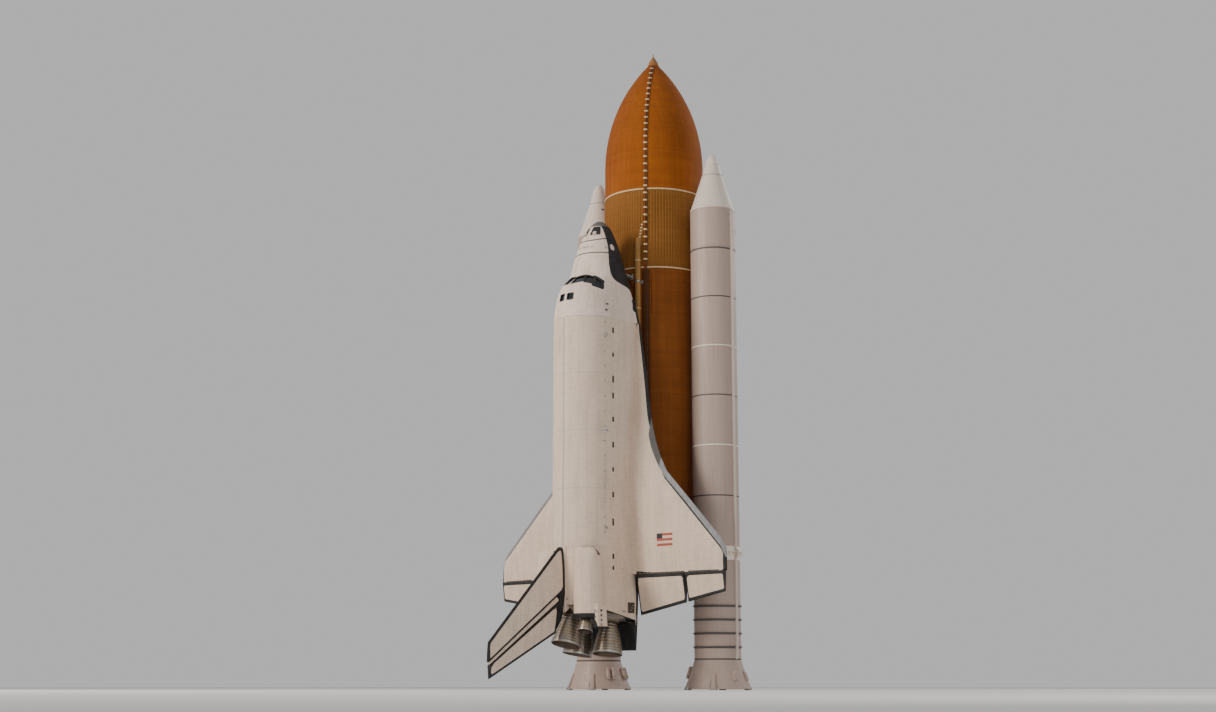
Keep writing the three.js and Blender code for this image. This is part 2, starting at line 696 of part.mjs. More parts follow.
// A fixed hinge knuckle on an axis along x. It reaches back into the wall and down by a drop.
function hingeKnuckle(x, axisY, axisZ, reach, drop) {
  const side = Math.sign(axisY);
  const half = 2.6;
  const barrel = rod([x - half, axisY, axisZ], [x + half, axisY, axisZ], 1.7, 1.7, 12);
  const web = hull(
    [x - half, x + half].flatMap((at) => [
      [at, axisY + side * 1.2, axisZ - 0.8],
      [at, axisY - side * reach[1], axisZ + drop],
      [at, axisY - side * reach[1], axisZ + drop + 5],
      [at, axisY + side * 0.2, axisZ - 1.5],
    ]),
  );
  const bore = rod([x - 4, axisY, axisZ], [x + 4, axisY, axisZ], 0.85, 0.85, 12);
  return cut(join(barrel, web), bore);
}

// The moving half of that hinge: two lugs and a pin, leaning back into the leaf.
function hingeLeaf(x, axisY, axisZ, reach, rise) {
  const side = Math.sign(axisY);
  const pin = rod([x - 6.5, axisY, axisZ], [x + 6.5, axisY, axisZ], 0.8, 0.8, 12);
  const lugs = [-1, 1].map((end) => {
    const ends = [x + end * 3.1, x + end * 6.5].sort((a, b) => a - b);
    return hull(
      ends.flatMap((at) => [
        [at, axisY + side * 1.3, axisZ],
        [at, axisY + side * 0.6, axisZ + 1.6],
        [at, axisY - side * 0.6, axisZ - 0.9],
        [at, axisY - side * reach, axisZ + rise],
        [at, axisY - side * reach, axisZ + rise + 3],
      ]),
    );
  });
  return join(pin, ...lugs);
}

function crewHatch() {
  const wall = cut(body(NOSE_SECTIONS), cabinSpace());
  const disc = hatchRod(HATCH.radius - CLEAR).intersect(wall);
  const frame = { x: HATCH.x, y: HATCH.axisY, z: HATCH.axisZ };
  return join(disc, hingeLeaf(frame.x, frame.y, frame.z, 3.6, 7.5));
}

// One band of glass behind the six front panes, with a saddle over to the two overhead panes.
function windshield() {
  const band = (depth) => body([440, 448, 478, 504, 534].map((x) => rowAt(NOSE_SECTIONS, x)), -depth);
  const shell = cut(band(CABIN_WALL + SEAT), band(CABIN_WALL + 1.6));
  const upper = block([CABIN_X[0] + 0.5, 533], [-120, 120], [399, 600]);
  return shell.intersect(upper).intersect(cabinSpace(-SEAT));
}

function flightDeck() {
  const floor = cabinSpace(-SEAT).intersect(block([455, 570], [-95, 95], [392, 397]));
  const console = hull([
    [457, -40, 397], [457, 40, 397], [457, -36, 418], [457, 36, 418],
    [470, -42, 396], [470, 42, 396], [466, -36, 424], [466, 36, 424],
  ]);
  const seats = [-26, 26].map((y) =>
    join(
      block([492, 512], [y - 10, y + 10], [396, 412]),
      block([508, 514], [y - 10, y + 10], [410, 444]),
    ),
  );
  const centre = block([470, 500], [-7, 7], [396, 408]);
  return join(floor, console, centre, ...seats);
}

function midFuselage() {
  const shell = body(MID_SECTIONS);
  const bay = rod([CABIN_END_X - 10, 0, BODY_CENTRE_Z], [BAY_END_X + 10, 0, BODY_CENTRE_Z],
    BAY_RADIUS, BAY_RADIUS, 36);
  const above = block([500, 1400], [-200, 200], [SILL_Z, 600]);
  const over = block([500, 1400], [-BAY_RADIUS, BAY_RADIUS], [BODY_CENTRE_Z, 600]);
  const knuckles = DOOR_HINGES.flatMap((x) => {
    const knuckle = hingeKnuckle(x, DOOR_AXIS_Y, DOOR_AXIS_Z, [0, 3.5], -9);
    return [knuckle, mirrored(knuckle)];
  });
  return join(cut(shell, bay, above, over), ...knuckles);
}

const DOOR_HINGES = [640, 942, 1244];
const DOOR_AXIS_Y = 105.9;
const DOOR_AXIS_Z = 420;

function payloadBayDoor(side) {
  const outer = BODY_HALF_WIDTH;
  const arc = [];
  const steps = 12;
  const lowest = Math.asin((SILL_Z + CLEAR - BODY_CENTRE_Z) / outer);
  const seam = CLEAR / 2 + 0.05;
  for (let i = 0; i <= steps; i++) {
    const turn = lowest + (Math.acos(seam / outer) - lowest) * (i / steps);
    arc.push([outer * Math.cos(turn), BODY_CENTRE_Z + outer * Math.sin(turn)]);
  }
  const innerArc = [];
  const innerLowest = Math.asin((SILL_Z + CLEAR - BODY_CENTRE_Z) / DOOR_INNER_RADIUS);
  for (let i = steps; i >= 0; i--) {
    const turn = innerLowest + (Math.acos(seam / DOOR_INNER_RADIUS) - innerLowest) * (i / steps);
    innerArc.push([DOOR_INNER_RADIUS * Math.cos(turn), BODY_CENTRE_Z + DOOR_INNER_RADIUS * Math.sin(turn)]);
  }
  const shape = new THREE.Shape([...arc, ...innerArc].map(([y, z]) => new THREE.Vector2(y, z)));
  const length = BAY_END_X - CABIN_END_X - 2 * CLEAR;
  const geometry = new THREE.ExtrudeGeometry(shape, { depth: length, bevelEnabled: false });
  const turned90 = new THREE.Matrix4().set(0, 0, 1, CABIN_END_X + CLEAR, 1, 0, 0, 0, 0, 1, 0, 0, 0, 0, 0, 1);
  const leaf = toSolid(geometry.applyMatrix4(turned90));
  const hinges = DOOR_HINGES.map((x) => hingeLeaf(x, DOOR_AXIS_Y, DOOR_AXIS_Z, 5, 4.5));
  return onSide(side, join(leaf, ...hinges));
}

// Main and manoeuvring engines: where they turn, which way they point, and their bells.
// A dome on the body and a cap on the engine share their centre with the gimbal.
const ENGINES = {
  main_engine_top: { at: [1445, 0, 443], up: 16, out: 0, scale: 1, roll: 90 },
  main_engine_left: { at: [1468.2, -53, 342.6], up: 10, out: -3.5, scale: 1 },
  main_engine_right: { at: [1468.2, 53, 342.6], up: 10, out: 3.5, scale: 1 },
};
const MANOEUVRING = { at: [1486, 86, 484], up: 15.8, out: 6.5, scale: 0.48 };

function enginePlacement({ at, up, out, scale, roll = 0 }) {
  return new THREE.Matrix4()
    .makeTranslation(...at)
    .multiply(new THREE.Matrix4().makeRotationZ(radians(out)))
    .multiply(new THREE.Matrix4().makeRotationY(-radians(up)))
    .multiply(new THREE.Matrix4().makeRotationX(radians(roll)))
    .multiply(new THREE.Matrix4().makeScale(scale, scale, scale));
}

const DOME = { outer: 65.3, inner: 62.8, opening: 35.5, bottom: 34, start: 30 };
const CAP = { radius: 61.3, bottom: 44.5 };
const BELL = { throat: 46, exit: 160, exitRadius: 45.3, wall: 1.6, sides: 16 };
const TRUNNION = { radius: 5, halfLength: 12, stem: 3.8, sides: 24 };

// Points on a ball round the gimbal, from one distance along the axis to another.
function ballArc(radius, from, to, steps) {
  return Array.from({ length: steps + 1 }, (_, i) => {
    const x = from + ((to - from) * i) / steps;
    return [x, Math.sqrt(radius ** 2 - x ** 2)];
  });
}

const bellRadius = (x) => BELL.exitRadius * ((x - BELL.throat) / (BELL.exit - BELL.throat)) ** 0.45;

function engineDome(placement) {
  const profile = [[DOME.start, 0], ...ballArc(DOME.outer, DOME.start, 53, 3), [53, 0]];
  return turned(profile, BELL.sides, placement);
}

function enginePocket(placement) {
  const { inner, opening, bottom } = DOME;
  const lip = Math.sqrt(inner ** 2 - opening ** 2);
  const pocket = turned([[bottom, 0], ...ballArc(inner, bottom, lip, 3), [90, 50], [90, 0]],
    BELL.sides, placement);
  const throatWay = turned([[2, 0], [2, 9], [bottom + 1, 15], [bottom + 1, 0]], BELL.sides, placement);
  const half = TRUNNION.halfLength + CLEAR;
  const wide = (TRUNNION.radius + 0.02) / Math.cos(Math.PI / TRUNNION.sides);
  const bearing = new THREE.CylinderGeometry(wide, wide, half * 2, TRUNNION.sides);
  return join(pocket, throatWay, toSolid(bearing.applyMatrix4(placement)));
}

function engine(placement) {
  const steps = 4;
  const start = 57;
  const along = (i) => start + ((BELL.exit - start) * i) / steps;
  const outside = [];
  const inside = [];
  for (let i = 0; i <= steps; i++) {
    outside.push([along(i), bellRadius(along(i)) + BELL.wall + 1]);
    inside.unshift([along(i), bellRadius(along(i))]);
  }
  const capEdge = Math.sqrt(CAP.radius ** 2 - outside[0][1] ** 2);
  const profile = [[CAP.bottom, 0], ...ballArc(CAP.radius, CAP.bottom, capEdge, 2), ...outside.slice(1),
    ...inside.slice(0, -1), [62, 8], [61, 0]];
  const bell = turned(profile, BELL.sides, placement);
  const stem = turned([[0, 0], [0, TRUNNION.stem], [CAP.bottom + 1, TRUNNION.stem], [CAP.bottom + 1, 0]], 12,
    placement);
  const { radius, halfLength, sides } = TRUNNION;
  const trunnion = new THREE.CylinderGeometry(radius, radius, halfLength * 2, sides);
  return join(bell, stem, toSolid(trunnion.applyMatrix4(placement)));
}

function aftFuselage() {
  const rows = AFT_SECTIONS.map((row) => [...row]);
  rows[0][0] = BAY_END_X + SEAT;
  const placements = Object.values(ENGINES).map(enginePlacement);
  // The base slopes from below the fin to the body flap.
  const base = hull(
    [-150, 150].flatMap((y) => [[1474, y, 520], [1700, y, 520], [1530, y, 296], [1700, y, 296],
      [1530, y, 250], [1700, y, 250]]),
  );
  const saddle = block([BAY_END_X + 2, 1500], [-15, 15], [480, FIN_ROOT_Z]);
  const shell = join(cut(body(rows), base), saddle, ...placements.map(engineDome));
  const [flapX, flapZ] = FLAP_HINGE;
  const roomRadius = FLAP_RADIUS + CLEAR;
  const flapSpace = rod([flapX, -130, flapZ], [flapX, 130, flapZ], roomRadius, roomRadius, 24);
  const behindFlap = block([flapX - 4, flapX + 60], [-130, 130], [200, flapZ + FLAP_RADIUS + 3]);
  const opened = cut(shell, ...placements.map(enginePocket), flapSpace, behindFlap);
  const lugs = [-1, 1].map((side) => {
    const y = side > 0 ? [109, 113] : [-113, -109];
    const lug = join(block([1505, flapX], y, [flapZ - 5, flapZ + 5]),
      rod([flapX, y[0], flapZ], [flapX, y[1], flapZ], 5, 5, 16));
    return cut(lug, rod([flapX, y[0] - 1, flapZ], [flapX, y[1] + 1, flapZ], 2.55, 2.55, 20));
  });
  return join(opened, ...lugs);
}

function bodyFlap() {
  const [x, z] = FLAP_HINGE;
  const halfSpan = 107.5;
  const section = [];
  for (let degrees = 90; degrees <= 270; degrees += 22.5) {
    const turn = radians(degrees);
    section.push([x + FLAP_RADIUS * Math.cos(turn), z + FLAP_RADIUS * Math.sin(turn)]);
  }
  section.push([1613, z - 4], [1613, z - 1]);
  const flap = loft([-halfSpan, halfSpan].map((y) => section.map(([at, up]) => [at, y, up])));
  const pins = [-1, 1].map((side) => rod([x, side * 100, z], [x, side * 112, z], 2.5, 2.5, 20));
  return join(flap, ...pins);
}

// Orbital manoeuvring pods: columns are station, y and z of the middle, half width and half height.
const POD_SECTIONS = [
  [1306, 68, 479, 28, 17],
  [1312, 70, 478, 37, 26],
  [1330, 74, 475, 43.5, 35],
  [1395, 79, 474, 46, 43],
  [1450, 83, 476, 46, 46],
  [1520, 86, 480, 46, 44],
];

function manoeuvringPod(side) {
  const sides = 20;
  const pod = loft(
    POD_SECTIONS.map(([x, y, z, wide, high]) =>
      Array.from({ length: sides }, (_, i) => {
        const turn = (2 * Math.PI * i) / sides;
        return [x, y + wide * Math.cos(turn), z + high * Math.sin(turn)];
      }),
    ),
  );
  const thrusterBox = hull([
    [1470, 118, 452], [1470, 118, 500], [1548, 120, 450], [1548, 120, 498],
    [1484, 138, 458], [1484, 136, 494], [1548, 142, 456], [1548, 139, 494],
  ]);
  const placement = enginePlacement(MANOEUVRING);
  const saddle = block([1200, 1600], [-15 - SEAT, 15 + SEAT], [300, 700]);
  const whole = cut(join(pod, thrusterBox, engineDome(placement)), enginePocket(placement));
  return cut(onSide(side, whole), body(AFT_SECTIONS, SEAT), saddle);
}

// Wings: columns are y, leading edge station, and thickness at 3, 12, 35, 65 and 100 percent of
// the way from the leading edge to the elevon hinge.
const WING_SECTIONS = [
  [98, 583, 10, 17, 26, 48, 33.4],
  [117, 583, 9, 16, 25, 46, 32.2],
  [150, 791, 9, 18, 30, 44, 30.4],
  [165, 893, 9.4, 19.5, 33, 43, 29.5],
  [175, 935, 9.7, 20.5, 35, 42.6, 28.9],
  [187, 975, 10, 21.5, 37, 42, 28.3],
  [205, 1020, 9.8, 21.3, 36.6, 40.2, 27.3],
  [230, 1066, 9.4, 20.6, 35, 37.5, 25.9],
  [312, 1148, 8, 17, 28, 29, 21.4],
  [452, 1290, 5, 10, 16, 17, 13.7],
  [WING_TIP_Y, 1318, 2, 4, 6, 7, 7],
];
const WING_LOW_Z = 268;
const WING_RISE = 0.0604; // the lower surface's climb for each inch outboard
const THICKNESS_AT = [0.03, 0.12, 0.35, 0.65, 1];

const wingLow = (y) => WING_LOW_Z + (y - BODY_HALF_WIDTH) * WING_RISE;
const hingeRadius = (y) => 16 - (y - 120) * 0.0276;
const hingePoint = (y) => [ELEVON_HINGE_X, y, wingLow(y) + hingeRadius(y)];

function wholeWing() {
  return loft(
    WING_SECTIONS.map(([y, edge, ...thickness]) => {
      const low = wingLow(y);
      const end = ELEVON_HINGE_X - (0.36 * hingeRadius(y) + 1);
      const at = (share) => edge + (end - edge) * share;
      const upper = THICKNESS_AT.map((share, k) => [at(share), y, low + thickness[k]]);
      const lip = thickness[0] * 0.35;
      const lower = [[end, y, low], [at(0.3), y, low], [at(0.03), y, low + lip * 0.4]];
      return [[edge, y, low + lip * 1.4], ...upper, ...lower];
    }),
  );
}

// The carbon leading edge, from the strake's curve to the tip, as deep as a distance behind the edge.
const CARBON_DEPTH = 13;

function leadingEdgeTool(grow) {
  const rows = WING_SECTIONS.slice(3);
  const back = rows.map(([y, edge], i) => {
    const [yBefore, before] = rows[Math.max(i - 1, 0)];
    const [yAfter, after] = rows[Math.min(i + 1, rows.length - 1)];
    const slope = (after - before) / (yAfter - yBefore);
    return [edge + (CARBON_DEPTH + grow) * Math.hypot(1, slope), y];
  });
  back[0][1] -= grow;
  const [lastX, lastY] = back[back.length - 1];
  back.push([lastX + 20, lastY + 12]);
  const strips = back.slice(1).map(([x, y], i) => {
    const [xBefore, yBefore] = back[i];
    return hull(
      [200, 400].flatMap((z) => [[800, yBefore, z], [xBefore, yBefore, z], [x, y, z], [800, y, z]]),
    );
  });
  return join(...strips);
}

function leadingEdge(side) {
  return onSide(side, wholeWing().intersect(leadingEdgeTool(0)));
}

const ELEVONS = { inboard: [121, 309], outboard: [317, 464] };
const BRACKET_Y = [311, 315];
const HINGE_PIN = 3;

function wing(side) {
  const coneRadius = (y) => hingeRadius(y) + CLEAR;
  const hingeSpace = rod(hingePoint(100), hingePoint(480), coneRadius(100), coneRadius(480), 24);
  const rootTrim = block([1375, 1400], [100, 119], [200, 400]);
  const box = cut(wholeWing(), leadingEdgeTool(SEAT), hingeSpace, rootTrim);
  const [inner, outer] = BRACKET_Y;
  const lug = (y0, y1, radius) => rod(hingePoint(y0), hingePoint(y1), radius, radius, 20);
  const [, , z] = hingePoint(inner);
  const web = block([1372, ELEVON_HINGE_X], [inner, outer], [z - 5, z + 5]);
  const bracket = cut(join(web, lug(inner, outer, 5.5)), lug(inner - 2, outer + 2, HINGE_PIN + 0.06));
  const whole = onSide(side, join(box, bracket));
  return cut(whole, body(FORWARD_END, SEAT), body(MID_SECTIONS, SEAT), body(AFT_SECTIONS, SEAT));
}

function elevon(name, side) {
  const [inner, outer] = ELEVONS[name];
  const section = (y) => {
    const [x, , z] = hingePoint(y);
    const r = hingeRadius(y);
    const ring = [];
    for (let degrees = 90; degrees <= 270; degrees += 22.5) {
      ring.push([x + r * Math.cos(radians(degrees)), y, z + r * Math.sin(radians(degrees))]);
    }
    const trailing = 1527.4 - 0.1773 * y;
    ring.push([trailing, y, z - r * 0.62], [trailing, y, z - r * 0.4]);
    return ring;
  };
  const leaf = loft([section(inner), section(outer)]);
  const pin =
    name === "inboard"
      ? rod(hingePoint(outer - 8), hingePoint(312.8), HINGE_PIN, HINGE_PIN, 20)
      : rod(hingePoint(inner + 8), hingePoint(313.3), HINGE_PIN, HINGE_PIN, 20);
  return onSide(side, join(leaf, pin));
}

// Fin and split rudder. The rudder's hinge line leans aft.
const hingeLineX = (z) => 1441 + (z - 503) * 0.695;
const finTrailingX = (z) => 1548 + (z - 503) * 0.495;
const finLeadingX = (z) => Math.max(BAY_END_X + 2, 1286 + (z - FIN_ROOT_Z));
const FIN_TAPER = 8 / 315;
const finHalfThickness = (z) => 13.6 - (z - 503) * FIN_TAPER;
const RUDDER_Z = [533, 812];
const HINGE_FAIRING_SHARE = 0.8;

function fin() {
  const section = (z) => {
    const h = finHalfThickness(z);
    const [front, back] = [finLeadingX(z), hingeLineX(z) - 0.9 * h - 1];
    const at = (share) => front + (back - front) * share;
    const half = [[at(0.02), h * 0.12], [at(0.12), h * 0.36], [at(0.5), h * 0.8], [back, h]];
    return [[front, 0, z], ...half.map(([x, y]) => [x, y, z]), ...half.reverse().map(([x, y]) => [x, -y, z])];
  };
  const blade = loft([FIN_ROOT_Z + SEAT, 523, 560, FIN_TIP_Z].map(section));
  const tail = hull(
    [FIN_ROOT_Z + SEAT, RUDDER_Z[0] - 3].flatMap((z) => {
      const h = finHalfThickness(z);
      const x = hingeLineX(z);
      const end = z < 520 ? 1514 : finTrailingX(z) - 10;
      return [[x - 20, -h, z], [x - 20, h, z], [x, -h, z], [x, h, z], [end, -3, z], [end, 3, z]];
    }),
  );
  const pinHole = rod(finHingePoint(505), finHingePoint(540), 2.55, 2.55, 20);
  return cut(join(blade, tail), hingeFairingBody(CLEAR), pinHole);
}

const finHingePoint = (z) => [hingeLineX(z), 0, z];

function hingeFairingBody(grow) {
  const radius = (z) => finHalfThickness(z) * HINGE_FAIRING_SHARE + grow;
  const [low, high] = [RUDDER_Z[0] - grow * 4, RUDDER_Z[1] + grow * 40];
  return rod(finHingePoint(low), finHingePoint(high), radius(low), radius(high), 36);
}

function hingeFairing() {
  const level = block([1300, 1800], [-50, 50], [RUDDER_Z[0], RUDDER_Z[1]]);
  const pin = rod(finHingePoint(518), finHingePoint(538), 2.5, 2.5, 20);
  return join(hingeFairingBody(0).intersect(level), pin);
}

function rudderPanel(side) {
  const section = (z) => {
    const h = finHalfThickness(z);
    const x = hingeLineX(z);
    const front = x + 1.24 * HINGE_FAIRING_SHARE * h + CLEAR;
    const back = finTrailingX(z);
    const near = CLEAR / 2;
    return [[front, near, z], [front, h * 0.97, z], [back, near + 1.2, z], [back, near, z]];
  };
  const panel = loft(RUDDER_Z.map(section));
  const straps = [560, 780].map((z) => {
    const h = finHalfThickness(z);
    const inner = (HINGE_FAIRING_SHARE * h) / Math.cos(Math.PI / 36) + 0.02;
    const change = 60 * FIN_TAPER * HINGE_FAIRING_SHARE;
    const strap = block([hingeLineX(z), hingeLineX(z) + h * 1.6 + 2], [CLEAR / 2, 2.2], [z - 6, z + 6]);
    return cut(strap, rod(finHingePoint(z - 60), finHingePoint(z + 60), inner + change, inner - change, 36));
  });
  return onSide(side, join(panel, ...straps));
}

// The assembly
const tank = new THREE.Group();
tank.add(
  toMesh("tank_nose_cap", FOAM, tankNoseCap()),
  toMesh("oxygen_tank", FOAM, oxygenTank()),
  toMesh("intertank", FOAM, intertank()),
  toMesh("hydrogen_tank", FOAM, hydrogenTank()),
  toMesh("oxygen_feedline", FOAM, oxygenFeedline()),
  toMesh("hydrogen_feedline", FOAM, hydrogenFeedline()),
  toMesh("tank_cable_tray", FOAM, tankCableTray()),
  toMesh("forward_bipod", GREY_METAL, forwardBipod()),
  toMesh("aft_crossbeam", FOAM, aftCrossbeam()),
);
for (const [name, side] of SIDES) {
  tank.add(toMesh(`aft_attach_${name}`, GREY_METAL, aftAttachPost(side)));
}

const boosters = SIDES.map(([name, side]) => {
  const booster = new THREE.Group();
  booster.position.set(BOOSTER_ORIGIN[0], side * BOOSTER_ORIGIN[1], BOOSTER_ORIGIN[2]);
  booster.add(
    toMesh(`booster_nose_${name}`, WHITE_PAINT, boosterNose()),
    toMesh(`booster_forward_skirt_${name}`, WHITE_PAINT, boosterForwardSkirt(side)),
    toMesh(`booster_case_${name}`, WHITE_PAINT, boosterCase()),
    toMesh(`booster_tunnel_${name}`, WHITE_PAINT, boosterTunnel(side)),
    toMesh(`booster_aft_ring_${name}`, WHITE_PAINT, boosterAftRing(side)),
    toMesh(`booster_aft_skirt_${name}`, WHITE_PAINT, boosterAftSkirt(side)),
    toMesh(`booster_nozzle_${name}`, NOZZLE_METAL, boosterNozzle()),
  );
  return booster;
});

const orbiter = new THREE.Group();
orbiter.position.set(...ORBITER_ORIGIN);
orbiter.add(
  toMesh("nose_cap", CARBON, noseCap()),
  toMesh("nose_section", WHITE_BLANKET, noseSection()),
  toMesh("forward_fuselage", WHITE_BLANKET, forwardFuselage()),
  toMesh("windshield", GLASS, windshield()),
  toMesh("flight_deck", GREY_METAL, flightDeck()),
  toMesh("crew_hatch", WHITE_BLANKET, crewHatch()),
  toMesh("mid_fuselage", WHITE_BLANKET, midFuselage()),
  toMesh("aft_fuselage", BLACK_TILE, aftFuselage()),
  toMesh("body_flap", BLACK_TILE, bodyFlap()),
  toMesh("fin", WHITE_BLANKET, fin()),
  toMesh("rudder_hinge_fairing", BLACK_TILE, hingeFairing()),
);
for (const [name, spec] of Object.entries(ENGINES)) {
  orbiter.add(toMesh(name, NOZZLE_METAL, engine(enginePlacement(spec))));
}
for (const [name, side] of SIDES) {
  orbiter.add(
    toMesh(`payload_bay_door_${name}`, WHITE_BLANKET, payloadBayDoor(side)),
    toMesh(`wing_${name}`, WHITE_BLANKET, wing(side)),
    toMesh(`leading_edge_${name}`, CARBON, leadingEdge(side)),
    toMesh(`elevon_inboard_${name}`, WHITE_BLANKET, elevon("inboard", side)),
    toMesh(`elevon_outboard_${name}`, WHITE_BLANKET, elevon("outboard", side)),
    toMesh(`manoeuvring_pod_${name}`, WHITE_BLANKET, manoeuvringPod(side)),
    toMesh(`manoeuvring_engine_${name}`, NOZZLE_METAL, onSide(side, engine(enginePlacement(MANOEUVRING)))),
    toMesh(`rudder_panel_${name}`, WHITE_BLANKET, rudderPanel(side)),
  );
}

// Upright, with the orbiter towards -Y and its starboard wing towards +X, on the middle of its footprint.
const stack = new THREE.Group();
stack.add(tank, ...boosters, orbiter);
stack.setRotationFromMatrix(
  new THREE.Matrix4().makeBasis(
    new THREE.Vector3(0, 0, -1),
    new THREE.Vector3(1, 0, 0),
    new THREE.Vector3(0, -1, 0),
  ),
);
const FOOTPRINT_MIDDLE = (FIN_TIP_Z + ORBITER_ORIGIN[2] - TANK_RADIUS - 4) / 2;
stack.position.set(0, FOOTPRINT_MIDDLE, FLOOR_X);

const model = new THREE.Group();
model.add(stack);
model.scale.setScalar(MODEL_SCALE * MM_PER_INCH);

export default model;
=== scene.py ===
import math
from contextlib import contextmanager

import bmesh
import bpy
import numpy as np
from mathutils import Matrix, Vector

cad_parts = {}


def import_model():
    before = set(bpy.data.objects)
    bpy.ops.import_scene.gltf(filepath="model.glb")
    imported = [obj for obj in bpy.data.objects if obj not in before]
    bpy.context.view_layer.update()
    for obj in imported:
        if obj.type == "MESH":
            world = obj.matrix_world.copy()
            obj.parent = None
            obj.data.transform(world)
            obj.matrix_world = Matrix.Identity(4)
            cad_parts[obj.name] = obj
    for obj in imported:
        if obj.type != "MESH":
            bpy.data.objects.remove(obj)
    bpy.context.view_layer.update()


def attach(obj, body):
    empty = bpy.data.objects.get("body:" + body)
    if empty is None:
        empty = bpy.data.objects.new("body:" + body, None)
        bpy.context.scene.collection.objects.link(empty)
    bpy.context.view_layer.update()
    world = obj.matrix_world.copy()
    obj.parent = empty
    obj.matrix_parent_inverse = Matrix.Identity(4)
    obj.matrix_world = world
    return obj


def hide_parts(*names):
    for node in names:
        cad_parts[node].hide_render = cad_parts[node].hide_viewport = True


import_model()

# Lengths are full-size inches. In every frame below, x runs aft (down, as the stack stands),
# y to starboard and z from the tank to the orbiter.
METRES = 0.0127
FLOOR_X = 2473.64
MIDDLE_Z = 291.5
ORIGINS = {
    "tank": (0, 0, 0),
    "orbiter": (741, 0, -63.5),
    "booster_left": (543, -250.5, 0),
    "booster_right": (543, 250.5, 0),
}
SIDES = (("left", -1), ("right", 1))


def world(points, part):
    p = np.asarray(points, float).reshape(-1, 3) + ORIGINS[part]
    return np.stack([p[:, 1], MIDDLE_Z - p[:, 2], FLOOR_X - p[:, 0]], 1) * METRES


def new_object(name, data):
    obj = bpy.data.objects.new(name, data)
    bpy.context.scene.collection.objects.link(obj)
    return obj


def aim(obj, place, target):
    """Puts a camera or a light at a place, looking at its target."""
    obj.location = place
    obj.rotation_mode = "QUATERNION"
    obj.rotation_quaternion = (Vector(target) - Vector(place)).to_track_quat("-Z", "Y")


# Camera, in metres: it stands low on a circle round the stack, at the photograph's angle
AZIMUTH = 40.3
DISTANCE = 70
CAMERA_HEIGHT = 0.15
CIRCLE_Y = 3.7
CAMERA_TARGET = (0.35, 0.35, 13.3)
LENS = 50
camera = new_object("camera", bpy.data.cameras.new("camera"))
turn = math.radians(AZIMUTH)
aim(camera, (DISTANCE * math.sin(turn), CIRCLE_Y - DISTANCE * math.cos(turn), CAMERA_HEIGHT), CAMERA_TARGET)
camera.data.lens = LENS
camera.data.clip_start = 0.5
camera.data.clip_end = 1000
bpy.context.scene.camera = camera


# Points and rows of points
def placed(place, points):
    return [tuple(place @ Vector(p)) for p in points]


def both_sides(*points, middle=0):
    """Each point to port of a middle, and then to starboard of it."""
    return [(x, middle + sign * y, z) for x, y, z in points for sign in (-1, 1)]


def across(side, near, far):
    """The range between two distances from the middle on one side, its lower end first."""
    return sorted((side * near, side * far))


def wrapped(rows):
    """The rows with their first column again at the end."""
    rows = np.asarray(rows, float)
    return np.concatenate([rows, rows[:, :1]], 1)


def girth(rows):
    """The way round each row from its first point."""
    steps = np.linalg.norm(np.diff(wrapped(rows), axis=1), axis=2)
    return np.concatenate([np.zeros((len(rows), 1)), np.cumsum(steps, axis=1)], 1)


